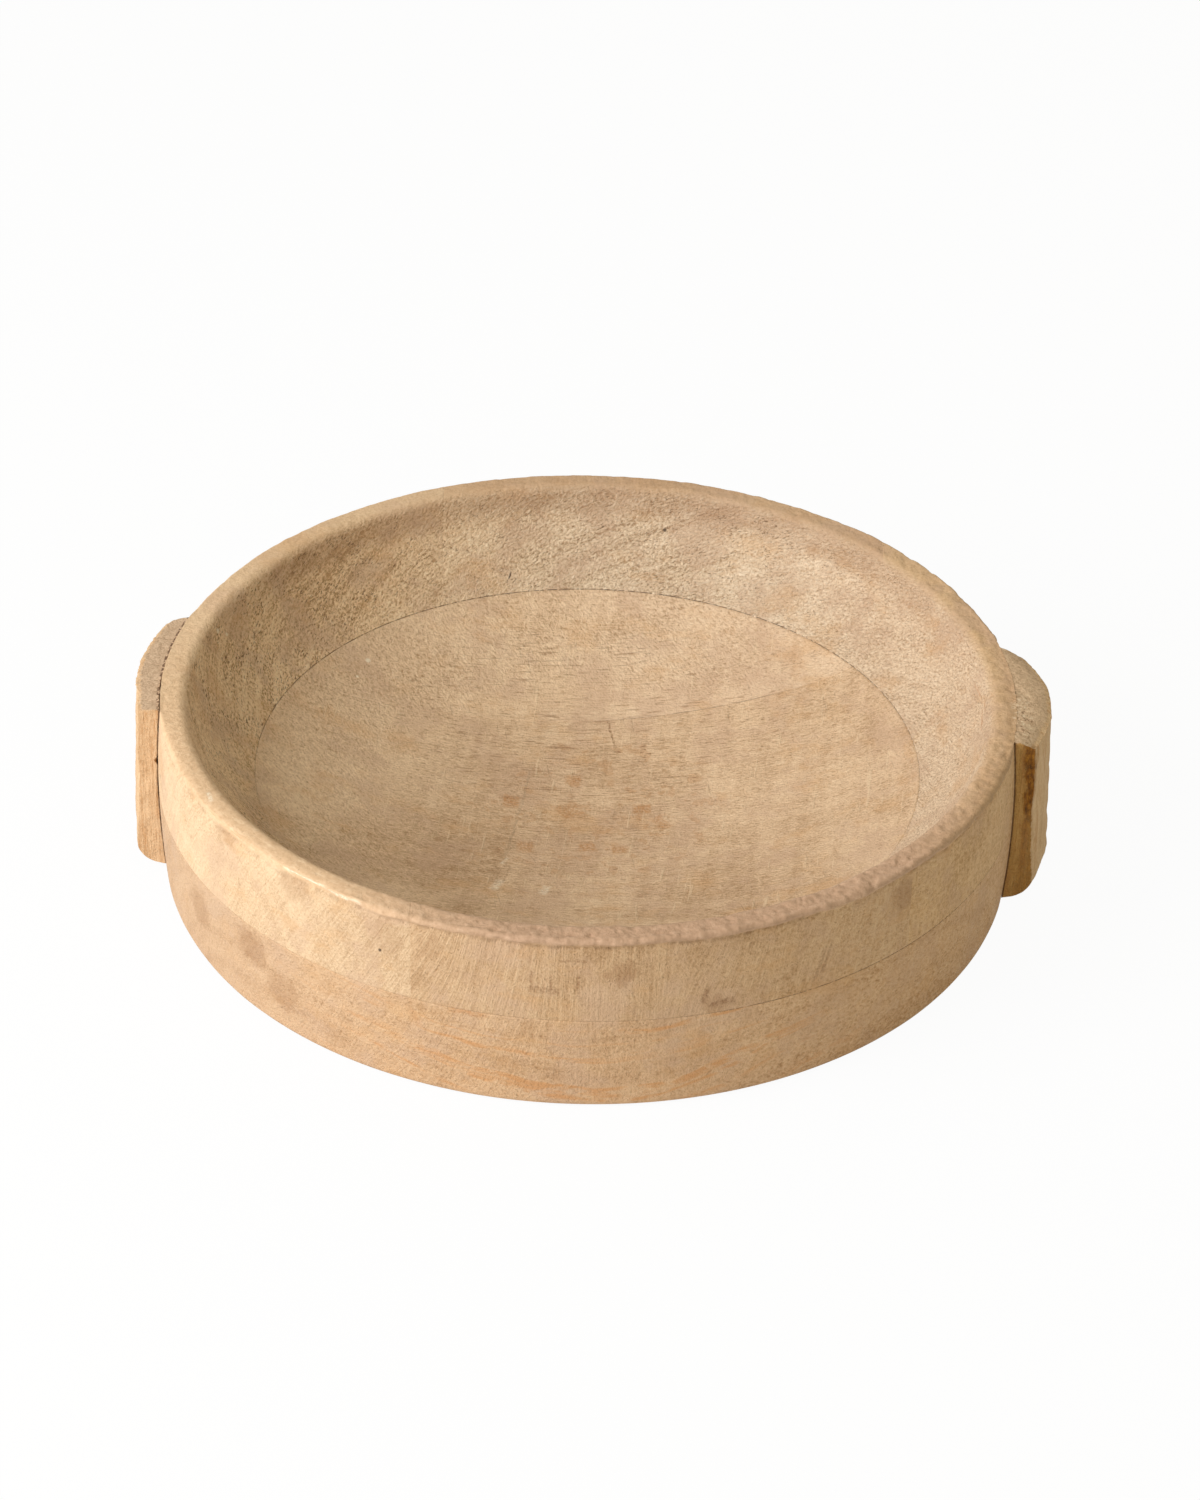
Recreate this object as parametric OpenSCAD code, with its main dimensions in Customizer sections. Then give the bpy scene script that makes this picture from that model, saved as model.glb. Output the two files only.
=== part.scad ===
// Round wooden dough bowl with two block handles.
// Two layers of boards are glued up and turned as one: a lower slab of two boards
// and an upper ring of four. A handle block is coped to the wall on each side and
// held by two hidden dowels.
// Millimetres, +Z up, origin at the centre of the underside, handles along X, front at -Y.

/* [Bowl] */
// Outer diameter at the widest, half way up the wall
bowl_d = 340; // [300:1:400]
// Height from the underside to the top of the rim
bowl_h = 77; // [68:1:92]
// How far the wall swells between its edges and its middle
wall_bulge = 2; // [0.5:0.1:4]
// Width of the rim, measured at its sharp edges
rim_w = 10; // [8:0.5:18]
// Rounding of both rim edges
rim_round_r = 2.5; // [1:0.1:3.5]
// Rounding of the edge that the bowl stands on
foot_round_r = 4; // [1:0.1:8]

/* [Hollow] */
// Thickness of the wood under the middle of the floor
floor_t = 10; // [6:0.5:16]
// Radius of the cove where the floor turns up into the wall
cove_r = 70; // [50:1:80]
// Lean of the inner wall from upright, at the rim, in degrees
wall_lean = 18; // [10:1:26]

/* [Boards] */
// Thickness of the lower layer
base_t = 41.5; // [34:0.5:44]
// Distance of the base joint behind the centre
base_joint_y = 66.5; // [40:0.5:90]
// Turn of the base joint about the bowl's axis, in degrees
base_joint_turn = 4.2; // [-8:0.1:8]
// Distance of the left upright joint from the centre
left_joint_x = 63; // [45:0.5:100]
// Distance of the right upright joint from the centre
right_joint_x = 121; // [90:0.5:125]

/* [Handles] */
// Length of a handle block along the wall
handle_len = 69; // [54:1:84]
// Thickness of the left handle at its middle, near its foot
left_handle_t = 11.5; // [10.5:0.5:20]
// Thickness of the right handle at its middle, near its foot
right_handle_t = 15; // [10.5:0.5:20]
// Thickness of both handles at their ends, near their foot
handle_end_t = 9.7; // [8:0.1:10]
// How much a handle thins from its foot to its top
handle_taper = 3.2; // [0.5:0.1:5]
// Height of a handle's foot above the underside
handle_z = 3; // [2:0.5:6]
// Depth of a handle's top below the rim
handle_top_drop = 1; // [0.5:0.5:6]
// Rounding of a handle's lower outer edge
handle_foot_r = 9.5; // [3:0.5:11]
// Rounding of its upper outer edge
handle_top_r = 1.5; // [0.5:0.1:4]
// Rounding of its upright edge at the back
handle_rear_r = 10.5; // [2:0.5:12]
// Turn of the left handle towards the back, in degrees
left_handle_turn = 4.6; // [-8:0.1:8]
// Turn of the right handle towards the back, in degrees
right_handle_turn = 0.3; // [-8:0.1:8]
// Gap that the glue fills between a handle and the wall
glue_gap = 0.3; // [0.1:0.05:0.5]

/* [Dowels] */
// Diameter of a handle dowel
dowel_d = 8; // [5:0.5:10]
// Length of a handle dowel
dowel_len = 18; // [12:0.5:20]
// Depth of a dowel in its handle
dowel_in_handle = 5; // [3:0.5:6]
// Distance between the two dowels of a handle
dowel_pitch = 34; // [20:0.5:40]
// Height of the dowels above the joint of the two layers
dowel_rise = 11.5; // [8:0.5:15]
// Clearance round a dowel
dowel_clear = 0.1; // [0.05:0.05:0.3]
// Clearance at each end of a dowel
dowel_end_clear = 0.5; // [0.2:0.1:1]

/* [Hidden] */
$fn = 240;

// Overrun of every cut past the wood that it cuts
overrun = 1;
// How far every round crosses the faces that it joins, as a share of its radius, for a clean edge
cross_share = 0.0005;

// The wall follows one arc, widest half way up, in straight passes of the turning tool
wall_passes = 6;
wall_r = bowl_d / 2;
barrel_r = (pow(bowl_h / 2, 2) + pow(wall_bulge, 2)) / (2 * wall_bulge);
function wall_r_at(z) = wall_r - barrel_r + sqrt(pow(barrel_r, 2) - pow(z - bowl_h / 2, 2));
pass_heights = [for (i = [0:wall_passes]) bowl_h * i / wall_passes];

// Centre of the cove: its arc meets the sharp inner rim edge at the given lean
mouth_r = wall_r_at(bowl_h) - rim_w;
cove_x = mouth_r - cove_r * cos(wall_lean);
cove_z = bowl_h + cove_r * sin(wall_lean);

// The floor is a sphere that touches the floor level and rolls into the cove
cove_rise = cove_z - floor_t;
dish_r = (pow(cove_x, 2) + pow(cove_rise, 2) - pow(cove_r, 2)) / (2 * (cove_rise - cove_r));
dish_z = floor_t + dish_r;
dish_angle = atan(cove_x / (dish_z - cove_z));

// Round of the inner rim edge: it touches the rim's top and the cove
lip_z = bowl_h - rim_round_r;
lip_x = cove_x + sqrt(pow(cove_r + rim_round_r, 2) - pow(cove_z - lip_z, 2));
lip_touch_z = cove_z + (lip_z - cove_z) * cove_r / (cove_r + rim_round_r);

// A handle's outer face is crowned: in plan, an arc through its middle and its two ends
handle_h = bowl_h - handle_top_drop - handle_z;
handle_seat_x = sqrt(pow(wall_r, 2) - pow(handle_len / 2, 2));
handle_in_x = handle_seat_x - handle_end_t;
function crown_sag(t) = wall_r + t - handle_seat_x - handle_end_t;
function crown_r(t) = (pow(handle_len / 2, 2) + pow(crown_sag(t), 2)) / (2 * crown_sag(t));
function crown_x(t) = wall_r + t - crown_r(t);
taper_angle = atan(handle_taper / handle_h);

// Dowels: outer end in the handle, inner end in the ring
dowel_out_x = wall_r + dowel_in_handle;
dowel_z = base_t + dowel_rise;

// The rest of a corner outside a round of radius r centred at the origin, between two ways out
module corner_rest(r, way_a, way_b) {
  cut = r + wall_bulge + overrun;
  difference() {
    polygon([[0, 0], cut * way_a, cut * (way_a + way_b), cut * way_b]);
    circle(r * (1 + cross_share));
  }
}

// Half section of the wall's outside, filled to the axis and grown by a gap
module wall_profile(gap = 0) {
  polygon(concat([[0, 0]], [for (z = pass_heights) [wall_r_at(z) + gap, z]], [[0, bowl_h]]));
}

// Half section of the turned outside, with both of its edges rounded
module outside_profile() {
  rim_x = wall_r_at(lip_z) - rim_round_r;
  foot_x = wall_r_at(foot_round_r) - foot_round_r;
  difference() {
    wall_profile();
    translate([rim_x, lip_z]) corner_rest(rim_round_r, [1, 0], [0, 1]);
    translate([foot_x, foot_round_r]) corner_rest(foot_round_r, [1, 0], [0, -1]);
  }
}

// Half section of the hollow: spherical floor, cove and rounded lip
module hollow_profile() {
  intersection() {
    translate([0, dish_z]) circle(dish_r);
    polygon([
      [0, dish_z],
      [0, floor_t - overrun],
      [(dish_r + overrun) * tan(dish_angle), floor_t - overrun]
    ]);
  }
  translate([cove_x, cove_z]) circle(cove_r * (1 + cross_share));
  difference() {
    translate([cove_x, lip_touch_z]) square([lip_x - cove_x, bowl_h - lip_touch_z + overrun]);
    translate([lip_x, lip_z]) circle(rim_round_r);
  }
}

// One layer of the turned bowl, from one height to another
module turned_layer(z_low, z_high) {
  rotate_extrude() intersection() {
    difference() {
      outside_profile();
      hollow_profile();
    }
    translate([0, z_low]) square([wall_r + overrun, z_high - z_low]);
  }
}

// Block of space between two places along X and along Y, higher than the bowl
module space(x_low, x_high, y_low, y_high) {
  translate([x_low, y_low, -overrun])
    cube([x_high - x_low, y_high - y_low, bowl_h + 2 * overrun]);
}

// How far a block of space reaches to clear the bowl on any side
reach = wall_r + overrun;

// A board of the lower layer, on one side of the turned joint
module base_board(y_low, y_high) {
  intersection() {
    turned_layer(0, base_t);
    rotate([0, 0, base_joint_turn]) space(-reach, reach, y_low, y_high);
  }
}

module base_front_board() {
  color("burlywood") base_board(-reach, base_joint_y);
}

module base_rear_board() {
  color("wheat") base_board(base_joint_y, reach);
}

// A board of the upper layer, with the holes of the dowels that reach it
module ring_board(x_low, x_high, y_low, y_high) {
  difference() {
    intersection() {
      turned_layer(base_t, bowl_h);
      space(x_low, x_high, y_low, y_high);
    }
    children();
  }
}

module ring_left_board() {
  color("navajowhite") ring_board(-reach, -left_joint_x, -reach, reach)
    left_side() dowels(dowel_clear, dowel_end_clear);
}

module ring_front_board() {
  color("tan") ring_board(-left_joint_x, right_joint_x, -reach, 0);
}

module ring_right_board() {
  color("navajowhite") ring_board(right_joint_x, reach, -reach, reach)
    right_side() dowels(dowel_clear, dowel_end_clear);
}

module ring_rear_board() {
  color("tan") ring_board(-left_joint_x, right_joint_x, 0, reach);
}

// Puts what is modelled on the +X side at each handle's own place
module right_side() {
  rotate([0, 0, right_handle_turn]) children();
}

module left_side() {
  mirror([1, 0, 0]) rotate([0, 0, left_handle_turn]) children();
}

// Two dowels, grown all round and at their ends by a clearance for their holes
module dowels(clear = 0, end_clear = 0) {
  for (side = [-1, 1])
    translate([dowel_out_x - dowel_len - end_clear, side * dowel_pitch / 2, dowel_z])
      rotate([0, 90, 0])
        cylinder(d = dowel_d + 2 * clear, h = dowel_len + 2 * end_clear);
}

// Half section of the crown: it leans in towards the top, with both edges rounded
module crown_profile(t) {
  out_way = [cos(taper_angle), sin(taper_angle)];
  foot_x = crown_r(t) - handle_foot_r * tan(taper_angle) - handle_foot_r / cos(taper_angle);
  top_z = handle_h - handle_top_r;
  top_x = crown_r(t) - top_z * tan(taper_angle) - handle_top_r / cos(taper_angle);
  difference() {
    polygon([[0, 0], [crown_r(t), 0], [crown_r(t) - handle_taper, handle_h], [0, handle_h]]);
    translate([foot_x, handle_foot_r]) corner_rest(handle_foot_r, out_way, [0, -1]);
    translate([top_x, top_z]) corner_rest(handle_top_r, out_way, [0, 1]);
  }
}

// Plan of what rounding cuts off a handle's upright edge at the back
module upright_rest(t) {
  crown_gap = crown_r(t) - handle_rear_r;
  round_y = handle_len / 2 - handle_rear_r;
  crown_way = [sqrt(pow(crown_gap, 2) - pow(round_y, 2)), round_y] / crown_gap;
  translate([crown_x(t), 0] + crown_gap * crown_way)
    corner_rest(handle_rear_r, crown_way, [0, 1]);
}

// A handle block of thickness t, coped to the wall with room for the glue
module handle(t) {
  difference() {
    translate([0, 0, handle_z]) intersection() {
      translate([crown_x(t), 0, 0]) rotate_extrude() crown_profile(t);
      translate([handle_in_x, -handle_len / 2, -overrun])
        cube([wall_r + t - handle_in_x + overrun, handle_len, handle_h + 2 * overrun]);
    }
    linear_extrude(bowl_h) upright_rest(t);
    rotate_extrude() wall_profile(glue_gap);
    dowels(dowel_clear, dowel_end_clear);
  }
}

module left_handle() {
  color("peru") left_side() handle(left_handle_t);
}

module right_handle() {
  color("peru") right_side() handle(right_handle_t);
}

module left_handle_dowels() {
  color("moccasin") left_side() dowels();
}

module right_handle_dowels() {
  color("moccasin") right_side() dowels();
}

base_front_board();
base_rear_board();
ring_left_board();
ring_front_board();
ring_right_board();
ring_rear_board();
left_handle();
right_handle();
left_handle_dowels();
right_handle_dowels();
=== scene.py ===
"""Looks of a turned wooden dough bowl with two block handles.

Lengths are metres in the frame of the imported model: origin at the centre of the
underside, +Z up, handles along X, front at -Y. The wood's patterns are written
in millimetres. Every board and handle is a closed surface worked out on grids.
"""

import math

import bmesh
import bpy
import numpy as np
from mathutils import Matrix, Vector


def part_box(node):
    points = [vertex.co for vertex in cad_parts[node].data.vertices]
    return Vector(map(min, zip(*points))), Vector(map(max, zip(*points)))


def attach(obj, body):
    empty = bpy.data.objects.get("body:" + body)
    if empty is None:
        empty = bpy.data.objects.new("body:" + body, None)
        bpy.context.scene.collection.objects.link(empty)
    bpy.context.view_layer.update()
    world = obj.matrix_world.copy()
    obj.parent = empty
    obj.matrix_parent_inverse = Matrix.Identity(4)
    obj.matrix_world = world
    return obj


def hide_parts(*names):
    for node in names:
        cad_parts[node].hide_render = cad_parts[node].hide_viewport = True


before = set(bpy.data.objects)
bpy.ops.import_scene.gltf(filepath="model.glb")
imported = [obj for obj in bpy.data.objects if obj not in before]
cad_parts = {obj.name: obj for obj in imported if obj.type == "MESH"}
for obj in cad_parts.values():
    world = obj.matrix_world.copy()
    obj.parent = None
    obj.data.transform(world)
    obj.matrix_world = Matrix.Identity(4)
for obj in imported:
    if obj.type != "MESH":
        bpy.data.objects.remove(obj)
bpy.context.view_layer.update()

# Sizes of the turned bowl
MM = 0.001
RIM_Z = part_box("ring_left_board")[1].z
SEAM_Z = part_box("ring_left_board")[0].z
LEFT_JOINT_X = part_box("ring_left_board")[1].x
RIGHT_JOINT_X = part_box("ring_right_board")[0].x
WALL_R = 170 * MM
WALL_SWELL = 2 * MM
RIM_W = 10 * MM
LIP_R = 5 * MM
EDGE_R = 1.3 * MM
FOOT_R = 4 * MM
FLOOR_T = 10 * MM
COVE_R = 70 * MM
WALL_LEAN = math.radians(18)
BASE_JOINT_Y = 66.5 * MM
BASE_JOINT_TURN = math.radians(4.2)

# Slant of the tool marks round the inner wall
INNER_TURN = math.radians(22)

# Sizes of the handles
HANDLE_LEN = 69 * MM
LEFT_HANDLE_T = 11.5 * MM
RIGHT_HANDLE_T = 15 * MM
HANDLE_END_T = 9.7 * MM
HANDLE_TAPER = 3.2 * MM
HANDLE_FOOT_R = 9.5 * MM
HANDLE_TOP_R = 1.5 * MM
HANDLE_REAR_R = 10.5 * MM
GLUE_GAP = 0.3 * MM
FILLED_GAP = 0.03 * MM
HANDLE_FOOT_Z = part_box("left_handle")[0].z
HANDLE_TOP_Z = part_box("left_handle")[1].z
LEFT_HANDLE_TURN = 4.6
RIGHT_HANDLE_TURN = 0.3

# Ways round the bowl, in degrees from the right: the handles, and where the rim is coarse or worn soft
LEFT_HANDLE_AT = 180 - LEFT_HANDLE_TURN
RIGHT_HANDLE_AT = RIGHT_HANDLE_TURN
HANDLE_REACH = math.degrees(math.asin(HANDLE_LEN / 2 / WALL_R))
HANDLE_FADE = 3
COARSE_AT = -55
SOFT_AT = 217
SOFT_REACH = 17
SOFT_FADE = 12
SMOOTH_FADE = 16

# Waves of hand work: height and size in millimetres, and a seed
TURNED_WAVES = ((0.17, 38, 1), (0.07, 12, 2), (0.03, 4.5, 3))
RIM_WAVES = ((0.32, 10, 11), (0.32, 4.2, 12), (0.26, 2.2, 15))
BEAD_SWELL = ((0.6, 8, 16),)
BEAD_PATH = ((0.9, 16, 17), (0.5, 6, 18))
HANDLE_WAVES = ((0.55, 11, 21), (0.30, 4, 22), (0.10, 2, 30))
HANDLE_END_WAVES = ((0.4, 7, 24), (0.2, 2.5, 25))
HANDLE_TOP_WAVES = ((0.3, 6, 26), (0.22, 2.2, 27))
SAWN_TEETH = ((0.6, 1.1, 29),)
SANDED_TEETH = ((0.18, 1.1, 29),)

# Nicks of hand work: size in millimetres, the level that a lump must pass to cut in, and a seed
RIM_NICKS = ((5, 0.45, 13), (2.4, 0.5, 14))
HANDLE_NICKS = ((4.2, 0.45, 23),)

# Bead, crease and worn edge of the rim
BEAD_W = 1.2 * MM
CREASE_DROP = 2.2 * MM
CREASE_W = 0.7 * MM
CREASE_DEPTH = 0.3 * MM
WORN_W = 2.6 * MM
WORN_DEPTH = 1.5 * MM

# Spacing of the grids, and the close steps beside a joint that hold its hairline groove
GRID = 0.75 * MM
LIP_STEP = 0.4 * MM
RIM_STEP = 0.5 * MM
FLOOR_STEP = 1.15 * MM
BORDER_STEP = 1.2 * MM
HANDLE_STEP = 0.4 * MM
HANDLE_RISE_STEP = 0.6 * MM
EDGE_ROWS = 7
FOOT_ROWS = 9
HANDLE_ROWS = 23
EDGE_FINE = 7 * MM
PLAIN_WALL = 30 * MM
CLOSE_STEPS = np.array([0.12, 0.3, 0.6]) * MM
GROOVE_W = 0.25 * MM
GROOVE_DEPTH = 0.22 * MM
JOINT_FADE = 2 * MM
FOOT_FADE = 3 * MM
WELD_GAP = 0.002 * MM
SHARP_ANGLE = math.radians(38)

# Middle of each base board's floor grid, across the joint, and how far the grid reaches: front -1, rear 1
BOARD_MIDDLE = {-1: -20 * MM, 1: 98 * MM}
BOARD_REACH = {-1: 105 * MM, 1: 62 * MM}

# The wall's arc, the cove's centre and the dished floor
HALF_H = RIM_Z / 2
BARREL_R = (HALF_H**2 + WALL_SWELL**2) / (2 * WALL_SWELL)


def wall_radius(z):
    """Outer radius at a height: one shallow arc, widest half way up."""
    return WALL_R - BARREL_R + np.sqrt(BARREL_R**2 - (z - HALF_H) ** 2)


COVE_X = wall_radius(RIM_Z) - RIM_W - COVE_R * math.cos(WALL_LEAN)
COVE_Z = RIM_Z + COVE_R * math.sin(WALL_LEAN)
COVE_RISE = COVE_Z - FLOOR_T
DISH_R = (COVE_X**2 + COVE_RISE**2 - COVE_R**2) / (2 * (COVE_RISE - COVE_R))
DISH_Z = FLOOR_T + DISH_R
DISH_EDGE_R = DISH_R * math.sin(math.atan(COVE_X / (DISH_Z - COVE_Z)))
SEAM_R = COVE_X + math.sqrt(COVE_R**2 - (COVE_Z - SEAM_Z) ** 2)


def floor_height(r):
    """Height of the hollow's floor at a radius: a sphere that rolls into the cove."""
    dish = DISH_Z - np.sqrt(DISH_R**2 - np.minimum(r, DISH_EDGE_R) ** 2)
    cove = COVE_Z - np.sqrt(COVE_R**2 - np.maximum(r - COVE_X, 0) ** 2)
    return np.where(r < DISH_EDGE_R, dish, cove)


# Relief of the surfaces

def lumps(points, size, seed):
    """Smooth relief from -1 to 1: random heights on a cubic lattice of a size, eased between."""
    place = points / size
    cell = np.floor(place).astype(np.int64)
    part = place - cell
    ease = part * part * (3 - 2 * part)
    relief = np.zeros(points.shape[:-1])
    for corner in np.ndindex(2, 2, 2):
        i, j, k = np.moveaxis(cell + np.array(corner), -1, 0)
        mixed = (i * 73856093 ^ j * 19349663 ^ k * 83492791 ^ (seed + 1) * 40503) & 0xFFFFFFFF
        mixed = ((mixed ^ (mixed >> 13)) * 1274126177) & 0xFFFFFFFF
        height = ((mixed ^ (mixed >> 16)) & 0xFFFF) / 32767.5 - 1
        relief += height * np.prod(np.where(corner, ease, 1 - ease), axis=-1)
    return relief


def waves(points, rows):
    """Sum of lumps, each of a height and a size in millimetres and a seed."""
    return MM * sum(height * lumps(points, size * MM, seed) for height, size, seed in rows)


def nicks(points, rows):
    """Sum of what rises past a level, of lumps of a size in millimetres and a seed."""
    return MM * sum(np.maximum(lumps(points, size * MM, seed) - level, 0) for size, level, seed in rows)


def turned_relief(points):
    """Unevenness of a turned and hand sanded face: long waves with shorter ones on them."""
    return waves(points, TURNED_WAVES)


def groove(distance):
    """Hairline hollow beside a joint, deepest on the joint line."""
    return GROOVE_DEPTH * np.exp(-((distance / GROOVE_W) ** 2))


def eased(value, low, high):
    """Smooth step from 0 at low to 1 at high."""
    part = np.clip((value - low) / (high - low), 0, 1)
    return part * part * (3 - 2 * part)


def bell(value, reach):
    """Bell curve: 1 at zero, falling off over a reach."""
    return np.exp(-((value / reach) ** 2))


def near(angle, middle, reach, fade):
    """1 within a reach of a way round the bowl, easing to 0 over a fade; these three in degrees."""
    away = np.abs((np.degrees(angle) - middle + 180) % 360 - 180)
    return 1 - eased(away, reach, reach + fade)


def held(angle):
    """1 where a handle is glued to the wall."""
    return sum(near(angle, at, HANDLE_REACH, HANDLE_FADE) for at in (LEFT_HANDLE_AT, RIGHT_HANDLE_AT))


def steps(length, start=False, end=False, pitch=GRID):
    """Shares from 0 to 1 at an even pitch along a length, with close ones where an end has a joint."""
    even = np.linspace(0, 1, max(3, round(length / pitch)))
    close = CLOSE_STEPS / length
    parts = [even] + [close] * start + [1 - close] * end
    return np.unique(np.concatenate(parts))


# Skins: grids of points that close to one solid

class Skin:
    """Patches of one closed surface with named marks, gathered and then welded into a piece."""

    def __init__(self, *mark_names):
        self.mark_names = mark_names
        self.points = []
        self.lays = []
        self.marks = []
        self.faces = []
        self.count = 0

    def add(self, points, lay=None, marks=()):
        """Adds a grid of points with its lay (two lengths along the surface) and its first marks."""
        rows, columns = points.shape[:2]
        index = self.count + np.arange(rows * columns).reshape(rows, columns)
        self.count += rows * columns
        self.points.append(points.reshape(-1, 3))
        self.lays.append((points[..., :2] if lay is None else lay).reshape(-1, 2))
        blank = np.zeros((rows, columns))
        full = [*marks, *[blank] * (len(self.mark_names) - len(marks))]
        mark = np.stack(np.broadcast_arrays(*full, blank), axis=-1)[..., :-1]
        self.marks.append(mark.reshape(-1, len(self.mark_names)))
        quads = np.stack([index[:-1, :-1], index[1:, :-1], index[1:, 1:], index[:-1, 1:]], axis=-1)
        self.faces += quads.reshape(-1, 4).tolist()
        return index

    def cap(self, loop):
        """Closes a flat end with one face round a loop of indices."""
        self.faces.append([int(i) for i in loop])

    def piece(self, name, nodes, slot, material):
        """Welds the patches, turns their faces outwards and puts the piece in its node's place."""
        mesh = bpy.data.meshes.new(name)
        mesh.from_pydata(np.concatenate(self.points), [], self.faces)
        corner_point = np.empty(len(mesh.loops), dtype=np.int32)
        mesh.loops.foreach_get("vertex_index", corner_point)
        lay = mesh.uv_layers.new(name="lay")
        lay.data.foreach_set("uv", np.concatenate(self.lays)[corner_point].astype(np.float32).ravel())
        marks = np.concatenate(self.marks).astype(np.float32)
        for column, mark in enumerate(self.mark_names):
            layer = mesh.attributes.new(mark, "FLOAT", "POINT")
            layer.data.foreach_set("value", np.ascontiguousarray(marks[:, column]))
        weld = bmesh.new()
        weld.from_mesh(mesh)
        bmesh.ops.remove_doubles(weld, verts=weld.verts, dist=WELD_GAP)
        bmesh.ops.recalc_face_normals(weld, faces=weld.faces)
        weld.to_mesh(mesh)
        weld.free()
        mesh.polygons.foreach_set("use_smooth", np.ones(len(mesh.polygons), dtype=bool))
        mesh.set_sharp_from_angle(angle=SHARP_ANGLE)
        mesh.materials.append(material)
        piece = bpy.data.objects.new(name, mesh)
        bpy.context.collection.objects.link(piece)
        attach(piece, "root")
        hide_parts(*nodes)
        return piece


def around(radius, angle, height):
    """Points at a radius, an angle about the turning axis and a height."""
    return np.stack(np.broadcast_arrays(radius * np.cos(angle), radius * np.sin(angle), height), axis=-1)


# Boards of the ring

RING_MARKS = ("inside", "rim", "crease")


def arc_rows(centre_r, centre_z, radius, start, end, shares):
    """Rows of a section along an arc: radius, height and the two parts of the outward way."""
    angle = start + (end - start) * shares
    way_r, way_z = np.cos(angle), np.sin(angle)
    return np.stack([centre_r + radius * way_r, centre_z + radius * way_z, way_r, way_z])


def ring_section():
    """Half section of the ring: inner wall, lip, rim top, outer edge, outer wall and the glue face.

    Gives rows of radius, height and outward way (r, z), the length along the section, the inside and rim
    marks, how freely each row may move, which is nothing at the glue line, the depth of the groove there
    and the length at the rim's outer edge.
    """
    lip_z = RIM_Z - LIP_R
    lip_x = COVE_X + math.sqrt((COVE_R + LIP_R) ** 2 - (COVE_Z - lip_z) ** 2)
    low = math.asin((SEAM_Z - COVE_Z) / COVE_R)
    touch = math.atan2(lip_z - COVE_Z, lip_x - COVE_X)
    inner = arc_rows(COVE_X, COVE_Z, COVE_R, low, touch, steps(COVE_R * (touch - low), start=True))
    inner[2:] *= -1
    lip = arc_rows(lip_x, lip_z, LIP_R, touch + math.pi, math.pi / 2, steps(LIP_R * 1.2, pitch=LIP_STEP))
    edge_x = wall_radius(RIM_Z) - EDGE_R
    across = steps(edge_x - lip_x, pitch=RIM_STEP)
    flat = np.stack([lip_x + (edge_x - lip_x) * across, RIM_Z + 0 * across, 0 * across, 1 + 0 * across])
    edge_z = RIM_Z - EDGE_R
    edge = arc_rows(edge_x, edge_z, EDGE_R, math.pi / 2, 0, np.linspace(0, 1, EDGE_ROWS))
    close = edge_z - np.arange(0, EDGE_FINE, LIP_STEP)
    fine_end = edge_z - EDGE_FINE
    fall = np.concatenate([close, fine_end - (fine_end - SEAM_Z) * steps(PLAIN_WALL, end=True)])
    wall = np.stack([wall_radius(fall), fall, 1 + 0 * fall, 0 * fall])
    glue_r = np.array([0.6, 0.3]) * (wall_radius(SEAM_Z) - SEAM_R) + SEAM_R
    glue = np.stack([glue_r, SEAM_Z + 0 * glue_r, 0 * glue_r, -1 + 0 * glue_r])
    rows = np.concatenate([inner, lip[:, 1:], flat[:, 1:], edge[:, 1:], wall[:, 1:], glue], axis=1)
    length = np.concatenate([[0], np.cumsum(np.hypot(np.diff(rows[0]), np.diff(rows[1])))])
    top_in = length[inner.shape[1] - 1]
    top_out = length[rows.shape[1] - glue.shape[1] - wall.shape[1]]
    wall_end = length[rows.shape[1] - glue.shape[1] - 1]
    inside = 1 - eased(length, top_in, top_in + 6 * MM)
    rim = eased(length, top_in - 1 * MM, top_in + 5 * MM) * (1 - eased(length, top_out, top_out + 2 * MM))
    free = eased(length, 0, JOINT_FADE) * (1 - eased(length, wall_end - JOINT_FADE, wall_end))
    seam = groove(length) + groove(length - wall_end)
    seam[-glue.shape[1]:] = 0
    return rows, length, inside, rim, free, seam, top_out


def coarseness(angle):
    """How coarsely the rim was cut, from 0 to 1 round the bowl."""
    return 0.5 + 0.5 * np.cos(angle - math.radians(COARSE_AT))


def rim_relief(points, angle):
    """Lumps and chips of the hand cut rim: waves of three sizes less the nicks, low where the rim is worn."""
    worn = near(angle, SOFT_AT, SOFT_REACH, SMOOTH_FADE)
    strength = (0.35 + 0.75 * coarseness(angle)) * (1 - 0.6 * worn)
    return strength * (waves(points, RIM_WAVES) - 0.9 * nicks(points, RIM_NICKS))


def rim_edge(points, angle, length, edge_at):
    """Relief of the rim's outer edge, and the mark of the crease under it.

    A wavy bead overhangs the wall, with a crease below it, both strongest where the rim is coarse. At the
    front left the edge is worn to a soft round instead.
    """
    coarse = coarseness(angle)
    below = length - edge_at - waves(points, BEAD_PATH)
    bead = (0.05 + 0.95 * coarse) * (MM + waves(points, BEAD_SWELL)) * bell(below, BEAD_W)
    crease = coarse * bell(below - CREASE_DROP, CREASE_W)
    worn = near(angle, SOFT_AT, SOFT_REACH, SOFT_FADE) * bell(length - edge_at, WORN_W)
    return bead - CREASE_DEPTH * crease - WORN_DEPTH * worn, crease


RIM_EDGE_V = ring_section()[-1] / MM


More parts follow.
